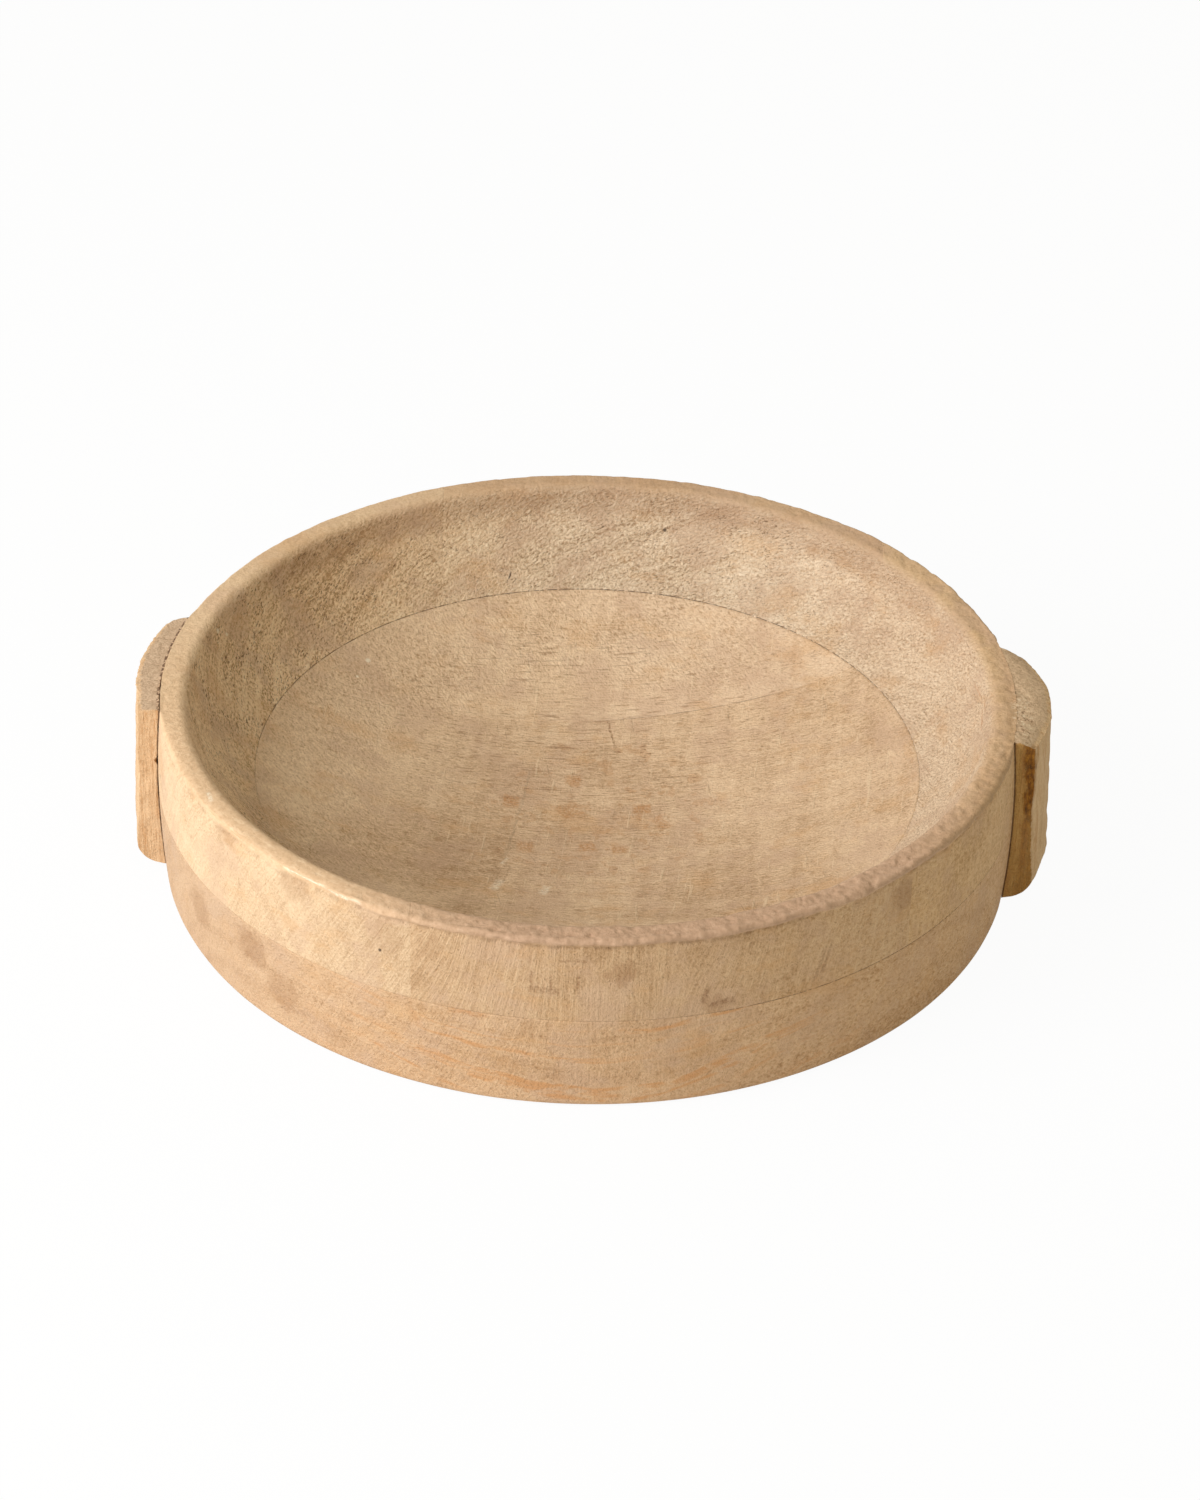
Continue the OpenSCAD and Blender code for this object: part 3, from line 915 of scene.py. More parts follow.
def ring_finish(name, across_grain, tones, heart, seed, sanded, stains=(), dabs=(), lines=(), drifts=()):
    """Wood of a ring board: brushed and torn inner wall, lumpy rim, sanded outer wall.

    The inner wall's tone and marks drift from left to right and run on across the joints. sanded is the
    strength of the sanding lines outside.
    """
    f = Finish(name)
    inside, rim, crease = (f.mark(mark) for mark in RING_MARKS)
    outside = (1 - inside) * (1 - 0.9 * rim)
    along, side = (f.y, f.x) if across_grain else (f.x, f.y)
    fine, broad, blotch, grit, hole = ground(f, along, side, heart, seed)
    pore = strokes(f, along, side, f.z, *PORE, seed)

    # Inner wall
    pored = 0.95 + 0.45 * (1 - f.step(f.x, *PORED_LEFT)) - 0.45 * f.step(f.x, *SMOOTH_RIGHT)
    cut = math.sin(INNER_TURN) * f.v - math.cos(INNER_TURN) * f.u
    over = math.cos(INNER_TURN) * f.v + math.sin(INNER_TURN) * f.u
    torn = f.noise(cut / 1.9, over / 1.0, 1.0, 3.0, 0.7, 0.5) - 0.5
    cluster = f.step(f.grain(12, 12, 9, rough=0.65), -0.10, 0.12)
    dash = strokes(f, cut, over, 5.0, 1.7, 0.6, 0.63 - 0.04 * pored, 2.0) * cluster
    swept = f.noise(cut / 60, over / 4, 3.0, 2.0, 0.6) - 0.5
    inner = (2.2 + 0.7 * pored) * torn + (0.1 + 0.9 * pored) * swept
    fine = fine * (1 - 0.8 * inside)
    broad = broad * (1 - 0.8 * inside)

    # Outer wall
    streak, wide_streak = sanding(f, seed)
    speckle = f.grain(2.0, 2.0, 1.5, rough=0.75) * f.step(f.x, *SPECKLED_RIGHT)
    outer = (1.2 * streak + 0.35 * wide_streak) * sanded + 2.2 * speckle

    shade = 0.5 + 0.4 * (fine + broad + blotch) + 1.1 * grit + inner * inside + outer * outside
    shade = shade + light_and_tone_drifts(f, drifts)
    inner_left, inner_rear, inner_right = (f.toned(shade, inner_tones) for inner_tones in INNER_TONES)
    inner_colour = f.mix(inner_left, inner_rear, f.step(f.x, *INNER_LEFT_TO_REAR))
    inner_colour = f.mix(inner_colour, inner_right, f.step(f.x, *INNER_REAR_TO_RIGHT))
    colour = veiled(f, f.mix(f.toned(shade, tones), inner_colour, inside))
    colour = warm_shaded_side(f, colour, outside)
    # Painted shade: a darker band on the rear inner wall just under the rim
    under_rim_shade = f.step(f.z, *UNDER_RIM_RISE) * f.step(f.y, *UNDER_RIM_REAR) * inside
    colour = f.mix(colour, UNDER_RIM_SHADE, under_rim_shade * (0.15 + 0.5 * f.noise(f.u / 18, f.v / 6, 0.0, 2.0)))
    colour = stained(f, colour, STAIN, stains)
    colour = f.mix(colour, PORE_BROWN, pore * outside * 0.15 + dash * inside * (0.65 * pored) + hole * 0.35)

    # Rim: pale on the left, pink at the front, grey brown on the right, darkest on the right rim's outer half
    # as painted shade where the bead faces away from the light
    # The worn front left of the rim has softer grain relief and a patchy painted highlight that lightens it
    worn = f.spot(*WORN_AND_LIT_RIM)
    rim_grain = f.grain(2.4, 2.4, 2.4, detail=4.0) * (1 - 0.4 * worn)
    patchy_highlight = f.step(f.noise(f.u / 9, f.v / 2.4, 5.0, 3.0, 0.65), 0.50, 0.66)
    rim_shade = 0.5 + 1.1 * rim_grain + 0.3 * patchy_highlight * worn
    pale, pink, brown = (f.toned(rim_shade, rim_tones) for rim_tones in RIM_TONES)
    right = f.step(f.x, *RIM_RIGHT)
    outer_half = f.step(f.v, RIM_EDGE_V - 7.0, RIM_EDGE_V - 2.0)
    front = 1 - f.step(f.y, *RIM_FRONT)
    # Painted shade: the right rim's grey brown, strongest on the outer half of the rim
    dark = right * (0.1 + 0.9 * outer_half) * (1 - f.step(f.y, *RIM_DARK_FRONT))
    rim_colour = f.mix(f.mix(pale, pink, f.step(f.x, *RIM_PALE_TO_PINK)), brown, dark)
    colour = f.mix(colour, rim_colour, rim * (0.3 + 0.65 * front) * (1 - 0.6 * right * (1 - outer_half)))
    nick = strokes(f, f.v, f.u, 7.0, *RIM_NICK, seed)
    colour = f.mix(colour, PORE_BROWN, rim * nick * (1 - f.step(f.x, *NICKED_LEFT)) * front * 0.3)
    # Painted shade: a broken dark line in the crease under the rim's bead
    crease_shade = crease * f.step(f.noise(f.u / 4, 0.0, seed, 3.0), 0.42, 0.62)
    colour = f.mix(colour, PORE_BROWN, crease_shade * 0.4)
    colour = crumbled(f, colour, f.spot(*CRUMBLED_RIM))
    colour = scored(f, dabbed(f, colour, dabs), lines)
    colour = f.mix(colour, SEAM_BROWN, seam_line(f, inside))

    # Relief
    inner_relief = 1.5 * torn - 0.2 * dash
    outer_relief = 0.5 * sanded * streak + 0.6 * speckle - 0.1 * pore
    height = inner_relief * inside + outer_relief * outside + 0.66 * rim_grain * rim
    height = height + 0.5 * grit * (1 - 0.7 * rim) - 0.2 * hole
    return f.done(colour, 0.7 - 0.12 * (shade - 0.5), height, 0.9 * MM)


def base_finish(name, tones, floor_tones, right_floor_tones, heart, seed,
                stains=(), dabs=(), lines=(), floor_lines=(), drifts=()):
    """Wood of a base board: long grain across the floor, torn patches and scratches; sanded outer wall.

    lines lie on the outer wall; dabs, floor_lines and drifts lie on the floor.
    """
    f = Finish(name)
    inside = f.mark("inside")
    outside = 1 - inside
    fine, broad, blotch, grit, hole = ground(f, f.x, f.y, heart, seed)
    cluster = f.step(f.grain(24, 14, 14, rough=0.65, shift=seed), -0.08, 0.14)
    dash = strokes(f, f.x, f.y, f.z, *FLOOR_DASH, seed) * cluster
    end_grain = 1 - f.step(f.x, *END_GRAIN)
    stipple = strokes(f, f.x, f.y, f.z, *STIPPLE, seed + 6) * end_grain

    # Floor: threads of long grain, torn grain and scratches across it
    thread = f.grain(12, 0.7, 0.7, warp=0.15, shift=2)
    level = f.grain(2.8, 1.0, 1.0, warp=0.5, shift=2)
    slant_along = TORN_TURN[0] * f.x - TORN_TURN[1] * f.y
    slant_over = TORN_TURN[1] * f.x + TORN_TURN[0] * f.y
    slant = f.noise(slant_along / 2.2, slant_over, f.z, 3.0, 0.7, 0.6) - 0.5
    radius = (f.x ** 2.0 + f.y ** 2.0) ** 0.5
    torn = f.step(radius, *TORN_RADIUS) * f.step(f.y - f.x, *TORN_SIDE)
    ripple = level * (1 - torn) + slant * torn
    sweep = f.noise((f.x - 0.1 * f.y) / 6, f.y / 60, seed + 8, 1.0) - 0.5
    worn = f.step(f.noise(f.x / 26, f.y / 30, seed, 2.0), 0.42, 0.60)
    pale_scratch = strokes(f, f.y, f.x - 0.1 * f.y, seed, *PALE_STROKE, seed) * worn
    grey_scratch = strokes(f, f.y, f.x + 0.15 * f.y, seed, *GREY_STROKE, seed + 4) * worn
    floor = (thread + 0.4 * sweep) * (1 - 0.7 * end_grain) + ripple * (1 + 1.2 * end_grain.most(torn))

    # Outer wall: sanded across the grain
    streak, wide_streak = sanding(f, seed)
    grain = f.grain(1.7, 1.7, 1.3)
    grainy = 0.8 + 1.7 * f.step(f.x, *SPECKLED_RIGHT)
    wall = 0.6 * streak + 0.4 * wide_streak + 0.2 * thread + grainy * grain + 0.4 * fine

    shade = 0.5 + 0.4 * (fine + broad + blotch) + (1 - 0.3 * inside) * grit
    shade = shade + (floor + light_and_tone_drifts(f, drifts)) * inside + wall * outside
    floor_left = f.toned(shade, floor_tones)
    floor_right = f.toned(shade, right_floor_tones)
    floor_colour = f.mix(floor_left, floor_right, f.step(f.x, *FLOOR_LEFT_TO_RIGHT))
    colour = warm_shaded_side(f, veiled(f, f.mix(f.toned(shade, tones), floor_colour, inside)), outside)
    flame = f.step(fine, 0.02, 0.14) * outside * (1 - f.step(f.x.size(), *FLAMED_FRONT))
    flame = flame * f.step(f.noise(f.x / 12, f.z / 5, seed, 3.0, 0.65), 0.38, 0.58)
    colour = f.mix(colour, FLAME, flame * 0.85)
    colour = f.mix(colour, GREYED, (1 - f.step(f.x, *GREY_LEFT)) * outside * 0.35)
    middle = f.spot(*FLOOR_MIDDLE)
    patch = f.step(f.noise(f.x / 7 + seed, f.y / 9, 0.0, 2.0, 0.6), 0.575, 0.62) * f.step(middle, 0.1, 0.5)
    frayed = 0.45 + 0.55 * f.step(thread, -0.08, 0.08)
    colour = f.mix(colour, PATCH, patch * frayed * inside * 0.35)
    front = f.spot(*FLOOR_FRONT)
    fibre = strokes(f, f.x, f.y, f.z, *FIBRE, seed + 9) * f.step(middle.most(front), 0.0, 0.5)
    colour = stained(f, colour, STAIN, stains)
    behind = f.step(f.spot(*FLOOR_REAR), 0.0, 0.5)
    grain_line = strokes(f, f.x, f.y - 0.05 * f.x, f.z, *GRAIN_LINE, seed + 11) * behind
    floor_marks = 0.3 * dash + 0.42 * grain_line + 0.4 * stipple + fibre * (0.4 + 0.3 * patch)
    colour = f.mix(colour, DASH_BROWN, 0.06 * dash + 0.3 * hole + floor_marks * inside)
    colour = f.mix(colour, PALE_SCRATCH, pale_scratch * inside * 0.45)
    colour = f.mix(colour, GREY_SCRATCH, grey_scratch * inside * 0.25)
    colour = f.mix(scored(f, colour, lines), scored(f, dabbed(f, colour, dabs), floor_lines), inside)

    # Joints
    colour = f.mix(colour, SEAM_BROWN, seam_line(f, inside))
    across = f.y * math.cos(BASE_JOINT_TURN) - f.x * math.sin(BASE_JOINT_TURN)
    joint = 1 - f.step((across - BASE_JOINT_Y / MM).size(), 0.1, 0.45)
    clear = f.step(f.noise(f.x / 9, 0.0, seed, 2.0), 0.40, 0.60) * f.spot(*CLEAR_JOINT)
    colour = f.mix(colour, SEAM_BROWN, joint * clear * 0.45)

    # Relief
    floor_relief = ripple + 0.4 * thread - 0.2 * dash + 0.12 * (pale_scratch - grey_scratch)
    height = floor_relief * inside + (0.4 * streak + grain) * outside + 0.5 * grit - 0.2 * hole
    return f.done(colour, 0.7 - 0.12 * (shade - 0.5), height, 0.8 * MM)


def handle_finish(name, tones, top_tones, end_tones, seed, stain=0.0, crumbs=0.0, dots=0.0):
    """Wood of a handle: grain upright, soft brown streaks down the faces, a dull top.

    stain lays a dark stain on the outer half of the front end, crumbs a crumbly filler along the top's joint,
    dots a dotted glue line there.
    """
    f = Finish(name)
    top, end = (f.mark(mark) for mark in HANDLE_MARKS)
    face = 1 - top
    thread = f.noise(f.z / 16 + seed, f.x / 0.8, f.y / 0.8, 3.0, 0.65, 0.3) - 0.5
    broad = f.noise(f.z / 30 + seed, f.x / 4, f.y / 4, 2.0) - 0.5
    grit = f.grain(0.9, 0.9, 0.9, detail=2.0)
    rough = f.grain(2.4, 2.4, 2.4, detail=4.0)
    hole = strokes(f, f.x, f.y, f.z, *PIT, seed)
    shade = 0.55 + 0.6 * thread + 0.6 * broad + 0.7 * grit + 0.4 * rough
    side = f.mix(f.toned(shade, tones), f.toned(shade, end_tones), end)
    colour = f.mix(side, f.toned(0.5 + 1.2 * grit + 1.2 * rough, top_tones), top)
    streak = f.step(f.noise(f.z / 34 + seed, f.x / 2.6 + rough, f.y / 2.6, 2.0, 0.6), 0.50, 0.66)
    colour = f.mix(colour, HANDLE_STREAK, streak * face * 0.45)
    colour = f.mix(colour, PORE_BROWN, hole * (0.2 + 0.3 * top))
    wall = WALL_R / MM - (f.z - HALF_H / MM) ** 2.0 / (2 * BARREL_R / MM)
    out = (f.x ** 2.0 + f.y ** 2.0) ** 0.5 - wall
    ragged = 2.5 * f.grain(2, 2, 5, rough=0.65)
    if stain:
        high = f.step(f.z + 6 * ragged, 30.0, 52.0)
        deep = f.step(out + 2.2 * ragged, 2.8, 5.2) * (0.4 + 0.6 * high)
        from_end = f.y + HANDLE_LEN / MM / 2 + 2.4 * ragged
        over_edge = (1 - end) * (1 - f.step(from_end, 0.5, 3.6)) * (0.2 + 0.5 * high)
        speck = f.step(f.grain(1.2, 1.2, 2.2), 0.08, 0.16) * deep * end
        brown = f.toned(0.5 + 2.4 * f.grain(1.6, 1.6, 4, detail=4.0), STAIN_BROWN)
        colour = f.mix(colour, brown, (end * deep + over_edge) * face * stain)
        colour = f.mix(colour, PIT_BLACK, speck * face * 0.6)
    if crumbs:
        colour = crumbled(f, colour, top * f.spot(*CRUMBLED_TOP) * crumbs)
    # Dark line along the wall: partly the glue's own brown, partly painted shade of the narrow gap
    dotted = f.step(f.noise(f.x / 1.3, f.y / 1.3, seed, 1.0), 0.46, 0.56) * dots
    wide = 0.3 + 0.6 * top
    glue = (1 - f.step(out + 0.3 * ragged, wide, wide + 0.6)) * (face + top * dotted)
    colour = f.mix(colour, GLUE_AND_GAP_SHADE, glue * 0.85)
    return f.done(colour, 0.75, 0.7 * thread * face + 0.4 * grit + 0.5 * rough - 0.2 * hole, 0.8 * MM)


def dowel_finish(name):
    """Wood of a dowel: straight grain along its length."""
    f = Finish(name)
    thread = f.noise(f.x / 9, f.y / 0.6, f.z / 0.6, 3.0, 0.6)
    return f.done(f.toned(thread, DOWEL_TONES), 0.6, thread, 0.1 * MM)


# Tones of the woods, each dark, middle and pale
PALE = (paint(188, 152, 116), paint(225, 194, 158), paint(242, 214, 180))
BROWN = (paint(160, 122, 82), paint(204, 168, 131), paint(226, 194, 156))
RIGHT = (paint(172, 134, 92), paint(219, 183, 141), paint(238, 206, 163))
REAR_INNER = (paint(178, 146, 115), paint(231, 205, 175), paint(250, 229, 203))
RIGHT_INNER = (paint(188, 155, 123), paint(231, 203, 173), paint(248, 224, 196))
LEFT_INNER = (paint(184, 148, 108), paint(240, 206, 166), paint(252, 226, 190))
LOW = (paint(170, 128, 88), paint(213, 175, 137), paint(232, 198, 160))
FLOOR = (paint(173, 137, 102), paint(224, 192, 158), paint(246, 218, 185))
FLOOR_BACK = (paint(179, 144, 110), paint(227, 196, 164), paint(246, 219, 188))
OCHRE = (paint(178, 138, 96), paint(217, 180, 140), paint(234, 202, 164))
HANDLE_TAN = (paint(172, 132, 88), paint(217, 182, 140), paint(238, 208, 168))
LEFT_TOP = (paint(156, 126, 98), paint(201, 171, 142), paint(224, 196, 166))
RIGHT_TOP = (paint(160, 130, 98), paint(211, 179, 146), paint(234, 206, 172))
SHADED_END = (paint(134, 94, 42), paint(190, 146, 84), paint(214, 174, 114))
RIM_PALE = (paint(184, 146, 108), paint(224, 188, 150), paint(248, 220, 186))
RIM_PINK = (paint(156, 120, 93), paint(195, 159, 131), paint(222, 188, 160))
RIM_BROWN_AND_SHADE = (paint(136, 104, 72), paint(188, 152, 114), paint(214, 180, 142))
INNER_TONES = (LEFT_INNER, REAR_INNER, RIGHT_INNER)
RIM_TONES = (RIM_PALE, RIM_PINK, RIM_BROWN_AND_SHADE)
STAIN_BROWN = (paint(58, 30, 2), paint(142, 88, 14), paint(190, 132, 46))
DOWEL_TONES = (paint(172, 134, 92), paint(218, 186, 142), paint(236, 212, 176))

# Single colours
SEAM_BROWN = paint(70, 52, 38)
PORE_BROWN = paint(108, 73, 42)
DASH_BROWN = paint(132, 90, 52)
SHADE_WARMTH = paint(206, 160, 104)
ORANGE = paint(196, 136, 84)
SMUDGE = paint(136, 94, 58)
# Glue brown, also used as painted shade of the gaps beside the handles
GLUE_AND_GAP_SHADE = paint(80, 48, 22)
STAIN = paint(156, 112, 74)
VEIL_GREY = paint(206, 172, 144)
VEIL_ORANGE = paint(212, 164, 112)
UNDER_RIM_SHADE = paint(176, 138, 106)
GREYED = paint(196, 168, 140)
FLAME = paint(208, 152, 100)
PATCH = paint(190, 136, 86)
PALE_SCRATCH = paint(236, 210, 176)
GREY_SCRATCH = paint(150, 126, 102)
HANDLE_STREAK = paint(186, 132, 78)
CRUMB = paint(246, 226, 198)
# Pale specks, and the colour of the painted highlights along the rim
SPECK_AND_HIGHLIGHT_WHITE = paint(250, 236, 214)
PIT_BLACK = paint(46, 28, 14)

# Marks of the boards
LEFT_STAINS = [(-107, -130, 72.5, 10, 0.32), (-135, -101, 75, 10, 0.25), (-72, -152, 66, 10, 0.2)]
LEFT_DABS = [(-150, 44, 72, 1.4, SPECK_AND_HIGHLIGHT_WHITE), (-147, 48, 68, 1.0, SPECK_AND_HIGHLIGHT_WHITE),
             (-166.4, -31.6, 52, 1.5, PIT_BLACK), (-74.3, -152.3, 59.1, 0.9, PIT_BLACK)]
# Painted highlights: pale broken lines along the rim's outer edge at the front left, where it catches the
# light
LEFT_RIM_HIGHLIGHTS = [(623, RIM_EDGE_V - 5, 4, 1.3, 10, SPECK_AND_HIGHLIGHT_WHITE, 0.7),
              (688, RIM_EDGE_V - 1, 12, 1.2, 0, SPECK_AND_HIGHLIGHT_WHITE, 0.8),
              (707, RIM_EDGE_V, 10, 1.0, 0, SPECK_AND_HIGHLIGHT_WHITE, 0.6)]
FRONT_STAINS = [(14, -168, 62, 7, 0.4), (48, -163, 46, 6, 0.3), (118, -121, 66, 9, 0.4),
                (-55, -160, 66, 7, 0.25)]
FRONT_LINES = [(-281, RIM_EDGE_V + 21, 7, 2.2, 0, SMUDGE, 0.5),
               (-286, RIM_EDGE_V + 17, 5, 0.9, 90, SMUDGE, 0.5),
               (-279, RIM_EDGE_V + 18, 4, 0.8, 90, SMUDGE, 0.5),
               (-269, RIM_EDGE_V + 17, 4, 0.8, 90, SMUDGE, 0.5),
               (-271, RIM_EDGE_V + 8, 6, 0.8, 0, SMUDGE, 0.5),
               (-222, RIM_EDGE_V + 26, 4, 1.7, -70, SMUDGE, 0.6),
               (-216, RIM_EDGE_V + 30, 6, 1.6, -8, SMUDGE, 0.7),
               (-176, RIM_EDGE_V + 24, 9, 1.2, -70, SMUDGE, 0.45),
               (-173, RIM_EDGE_V + 22, 8, 1.0, -70, SMUDGE, 0.5)]
REAR_DABS = [(31, 148, 62, 1.1, PIT_BLACK)]
REAR_LINES = [(310.6, 7.3, 3.4, 0.6, 125, PIT_BLACK, 0.9)]
# The last of these lines, and the last of LOW_LINES, are painted shade of the gap beside the right handle's
# front end
RIGHT_LINES = [(-6, 36, 9, 0.8, 8, ORANGE, 0.5), (2, 39, 8, 0.7, 4, ORANGE, 0.5),
               (14, 37, 10, 0.7, -6, ORANGE, 0.4),
               (-34.4, RIM_EDGE_V + 17, 20, 1.1, 90, GLUE_AND_GAP_SHADE, 0.5)]
LOW_STAINS = [(-147, -85, 28, 11, 0.35), (-125, -115, 32, 11, 0.45), (-112, -127, 19, 11, 0.35)]
LOW_LINES = [(-309, 0.8, 9, 1.6, 0, ORANGE, 0.5), (-330, 8, 5, 2.0, 60, ORANGE, 0.3),
             (-34.4, 14, 16, 1.1, 90, GLUE_AND_GAP_SHADE, 0.5)]
FRONT_DRIFTS = [(112, -126, 56, 44, 0.22)]
REAR_DRIFTS = [(84, 132, 60, 56, 0.18), (-75, 135, 60, 44, 0.1)]
# The second drift is painted shade high on the inner wall at the rear left, under the rim; the first darkens
# the outer wall beside the front joint
LEFT_DRIFTS = [(-64, -157, 58, 60, -0.16), (-118, 104, 66, 46, -0.16)]
# Painted light and shade on the floor: lighter at the left beside the wall, darker in the middle and towards
# the front and front right
FLOOR_PAINTED_LIGHT = [(-95, 5, 22, 62, 0.14), (0, 5, 10, 60, -0.12), (62, -70, 20, 62, -0.22),
                (-64, -22, 17, 52, -0.26), (-40, -75, 20, 40, -0.1)]
FLOOR_LINES = [(9.5, 60, 12, 0.7, -78, SMUDGE, 0.6), (-27.5, 6, 37, 0.8, 82, GREY_SCRATCH, 0.4),
               (-34.5, -50, 6, 2.4, 70, SPECK_AND_HIGHLIGHT_WHITE, 0.6), (-15.7, -51, 5, 2.4, 75, SPECK_AND_HIGHLIGHT_WHITE, 0.6),
               (-32, -29, 4, 1.0, 70, SPECK_AND_HIGHLIGHT_WHITE, 0.6), (-31, -40, 9, 0.7, 80, SMUDGE, 0.4),
               (-30.7, 14, 4, 5.5, 0, PATCH, 0.71), (-5.8, 31.1, 4, 4.5, 0, PATCH, 0.68),
               (-6.7, 10.7, 6, 8.0, 30, PATCH, 0.6), (22.4, 11.9, 4.5, 4.5, 0, PATCH, 0.75),
               (30, 1.6, 6, 4.0, -60, PATCH, 0.64), (-24.3, -17, 4, 6.0, 0, PATCH, 0.68),
               (0.4, -14.7, 4, 4.5, 0, PATCH, 0.71), (13.6, -16.9, 4, 4.0, 0, PATCH, 0.71)]
FLOOR_DABS = [(-92, 81, 36, 1.5, SPECK_AND_HIGHLIGHT_WHITE), (-96, 71, 34, 1.0, SPECK_AND_HIGHLIGHT_WHITE)]

# Pieces

def plane_angle(x, front):
    """Angle of a joint plane at a given X, as a function of the radius, on the front or rear side."""
    return lambda radius: (-1 if front else 1) * np.arccos(x / radius)


ring_left = ring_finish("left_ring_wood", True, PALE, (-190, 20), 1.3, sanded=0.7,
                        stains=LEFT_STAINS, dabs=LEFT_DABS, lines=LEFT_RIM_HIGHLIGHTS, drifts=LEFT_DRIFTS)
ring_front = ring_finish("front_ring_wood", False, BROWN, (-60, -20), 4.7, sanded=1.0,
                         stains=FRONT_STAINS, lines=FRONT_LINES, drifts=FRONT_DRIFTS)
ring_right = ring_finish("right_ring_wood", True, RIGHT, (240, 10), 7.9, sanded=0.7,
                         lines=RIGHT_LINES, drifts=REAR_DRIFTS)
ring_rear = ring_finish("rear_ring_wood", False, BROWN, (60, -30), 12.1, sanded=1.0,
                        dabs=REAR_DABS, lines=REAR_LINES, drifts=REAR_DRIFTS)
base_front = base_finish("front_base_wood", LOW, FLOOR, FLOOR, (-118, -30), 2.2,
                         stains=LOW_STAINS, lines=LOW_LINES, floor_lines=FLOOR_LINES, drifts=FLOOR_PAINTED_LIGHT)
base_rear = base_finish("rear_base_wood", LOW, FLOOR, FLOOR_BACK, (210, -60), 5.5,
                        dabs=FLOOR_DABS, drifts=FLOOR_PAINTED_LIGHT)
left_handle_wood = handle_finish("left_handle_wood", OCHRE, LEFT_TOP, OCHRE, 3.3, dots=1.0)
right_handle_wood = handle_finish("right_handle_wood", HANDLE_TAN, RIGHT_TOP, SHADED_END, 6.4,
                                  stain=0.95, crumbs=1.0)
dowel_wood = dowel_finish("dowel_wood")

ring_board("ring_left_wood", "ring_side_wood", ring_left, plane_angle(LEFT_JOINT_X, False),
           lambda radius: 2 * math.pi - np.arccos(LEFT_JOINT_X / radius))
ring_board("ring_front_wood", "ring_wood", ring_front,
           plane_angle(LEFT_JOINT_X, True), plane_angle(RIGHT_JOINT_X, True))
ring_board("ring_right_wood", "ring_side_wood", ring_right,
           plane_angle(RIGHT_JOINT_X, True), plane_angle(RIGHT_JOINT_X, False))
ring_board("ring_rear_wood", "ring_wood", ring_rear,
           plane_angle(RIGHT_JOINT_X, False), plane_angle(LEFT_JOINT_X, False))
base_board("base_front_wood", "base_wood", base_front, -1)
base_board("base_rear_wood", "base_wood", base_rear, 1)
handle("left_handle_wood", "left_handle", "handle_wood", left_handle_wood,
       LEFT_HANDLE_T, math.radians(LEFT_HANDLE_TURN), True)
handle("right_handle_wood", "right_handle", "handle_wood", right_handle_wood,
       RIGHT_HANDLE_T, math.radians(RIGHT_HANDLE_TURN), False)
for node in ("left_handle_dowels", "right_handle_dowels"):
    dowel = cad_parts[node]
    dowel.data.materials.clear()
    dowel.data.materials.append(dowel_wood)

# Floor, light and camera

WHITE = (1, 1, 1, 1)
FLOOR_WHITE = (0.88, 0.88, 0.88, 1)
FLOOR_GLOW = 0.95
SHEET_REACH = 3.0
AMBIENT = (0.475, 0.45, 0.35, 1)
scene = bpy.context.scene
scene.view_settings.view_transform = "Standard"


def white_floor():
    """Pale floor: white to the camera, with the bowl's soft shadow; open from below."""
    f = Finish("floor_white")
    f.shader.inputs["Base Color"].default_value = FLOOR_WHITE
    f.shader.inputs["Roughness"].default_value = 1.0
    f.shader.inputs["Specular IOR Level"].default_value = 0.0
    matt = Field(f.tree, f.shader.outputs[0])
    glow = f.node("ShaderNodeEmission", {}, {"Color": WHITE, "Strength": 1.0})
    lit = f.node("ShaderNodeMixShader", {}, {0: f.seen() * FLOOR_GLOW, 1: matt, 2: glow})
    clear = f.node("ShaderNodeBsdfTransparent", {}, {})
    below = f.node("ShaderNodeNewGeometry", {}, {}, "Backfacing")
    whole = f.node("ShaderNodeMixShader", {}, {0: below, 1: lit, 2: clear})
    plug(f.tree, f.tree.nodes["Material Output"].inputs["Surface"], whole)
    return f.material


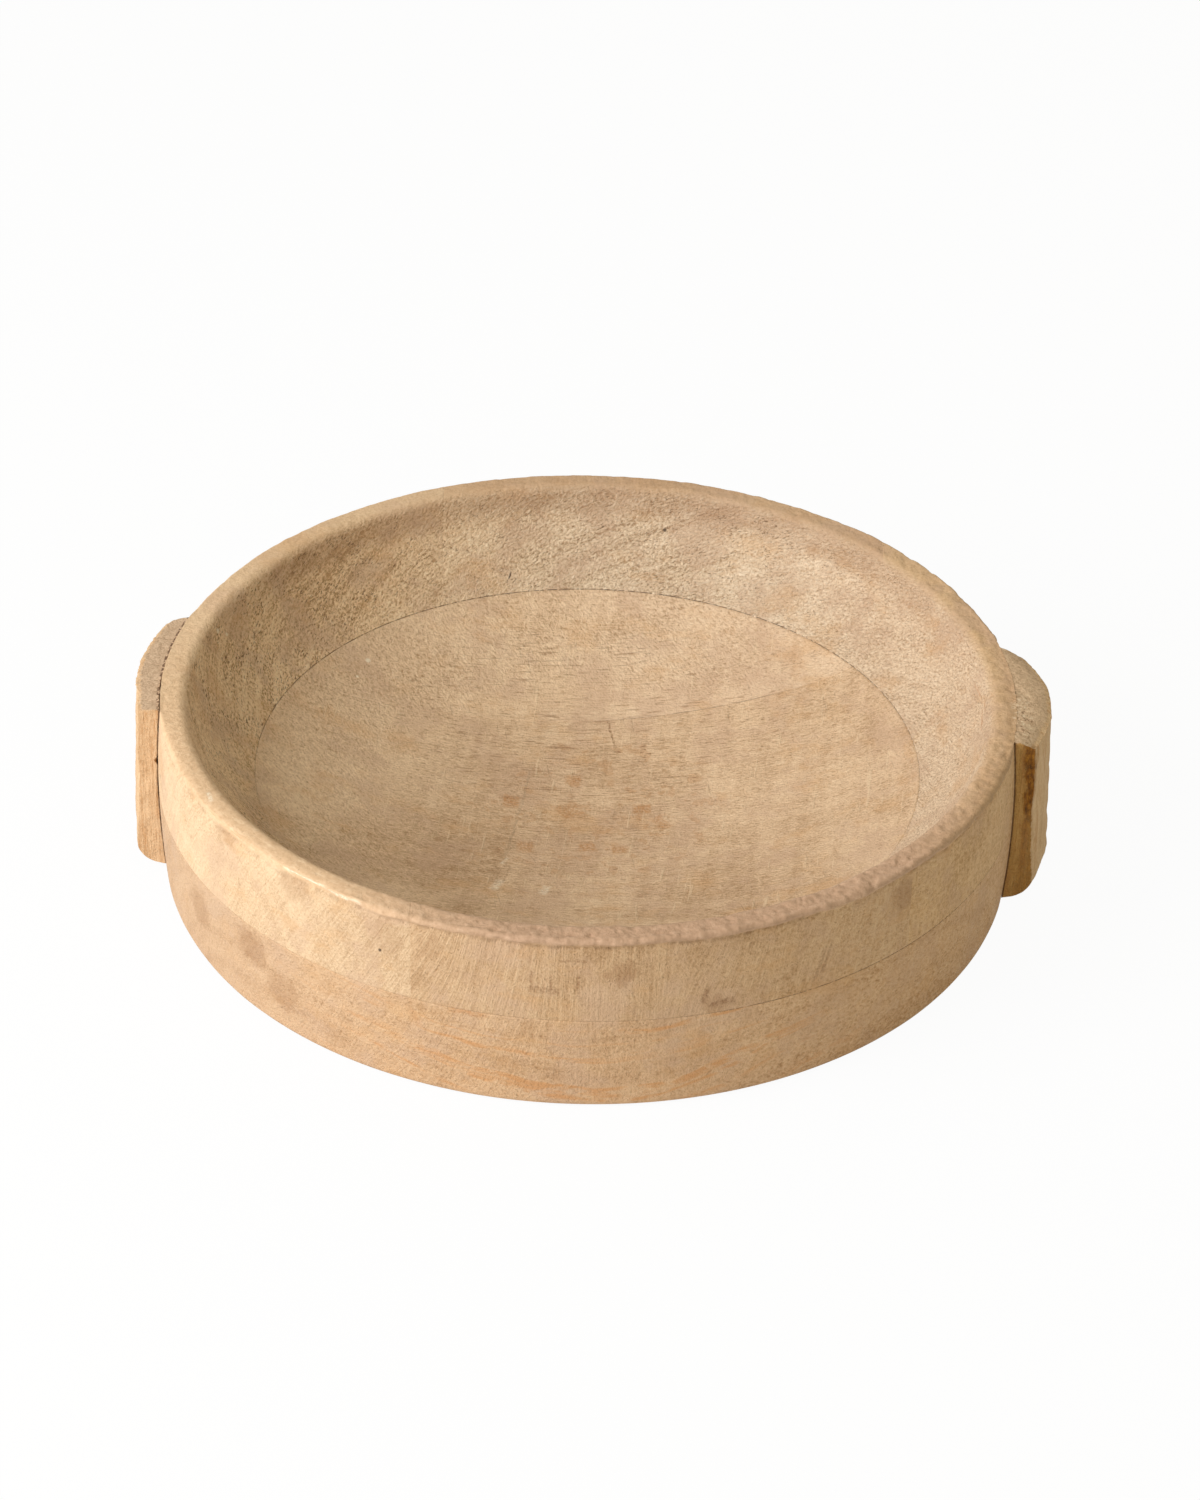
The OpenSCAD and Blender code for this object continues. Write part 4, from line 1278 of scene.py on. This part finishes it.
floor_mesh = bpy.data.meshes.new("floor")
corners = [(x * SHEET_REACH, y * SHEET_REACH, 0) for x, y in ((-1, -1), (1, -1), (1, 1), (-1, 1))]
floor_mesh.from_pydata(corners, [], [(0, 1, 2, 3)])
floor_mesh.materials.append(white_floor())
floor_sheet = bpy.data.objects.new("floor", floor_mesh)
bpy.context.collection.objects.link(floor_sheet)

world = bpy.data.worlds.new("studio")
scene.world = world
world.use_nodes = True
sky = Tree(world.node_tree)
plug(sky.tree, sky.tree.nodes["Background"].inputs["Color"], sky.mix(AMBIENT, WHITE, sky.seen()))

KEY_FAR = 1.8
KEY_SHARE = 0.92
KEY_SIZE = 1.1
KEY_COLOUR = (0.98, 0.98, 1.0)
KEY_TURN = math.radians(-150)
KEY_RISE = math.radians(33)
key_light = bpy.data.lights.new("key", "AREA")
key_light.size = KEY_SIZE
key_light.color = KEY_COLOUR
key_light.energy = KEY_SHARE * math.pi**2 * KEY_FAR**2
key = bpy.data.objects.new("key", key_light)
bpy.context.collection.objects.link(key)
key_reach = math.cos(KEY_RISE)
key_way = Vector((key_reach * math.cos(KEY_TURN), key_reach * math.sin(KEY_TURN), math.sin(KEY_RISE)))
key.location = key_way * KEY_FAR
key.rotation_euler = key_way.to_track_quat("Z", "Y").to_euler()

CAMERA_RISE = math.radians(33.88)
CAMERA_ROLL = math.radians(1.10)
CAMERA_FAR = 1.608
CAMERA_AIM = Vector((0, 0, 37.4 * MM))
CAMERA_LENS = 96.8
CAMERA_SHIFT = (0.0084, 0.0135)
camera_data = bpy.data.cameras.new("camera")
camera_data.sensor_width = 36
camera_data.lens = CAMERA_LENS
camera_data.shift_x, camera_data.shift_y = CAMERA_SHIFT
camera_data.clip_start = 0.05
camera = bpy.data.objects.new("camera", camera_data)
bpy.context.collection.objects.link(camera)
back = Vector((0, -math.cos(CAMERA_RISE), math.sin(CAMERA_RISE)))
right = Vector((1, 0, 0))
up = Vector((0, math.sin(CAMERA_RISE), math.cos(CAMERA_RISE)))
axis_x = right * math.cos(CAMERA_ROLL) + up * math.sin(CAMERA_ROLL)
axis_y = up * math.cos(CAMERA_ROLL) - right * math.sin(CAMERA_ROLL)
turned = Matrix((axis_x, axis_y, back)).transposed().to_4x4()
camera.matrix_world = Matrix.Translation(CAMERA_AIM + back * CAMERA_FAR) @ turned
scene.camera = camera
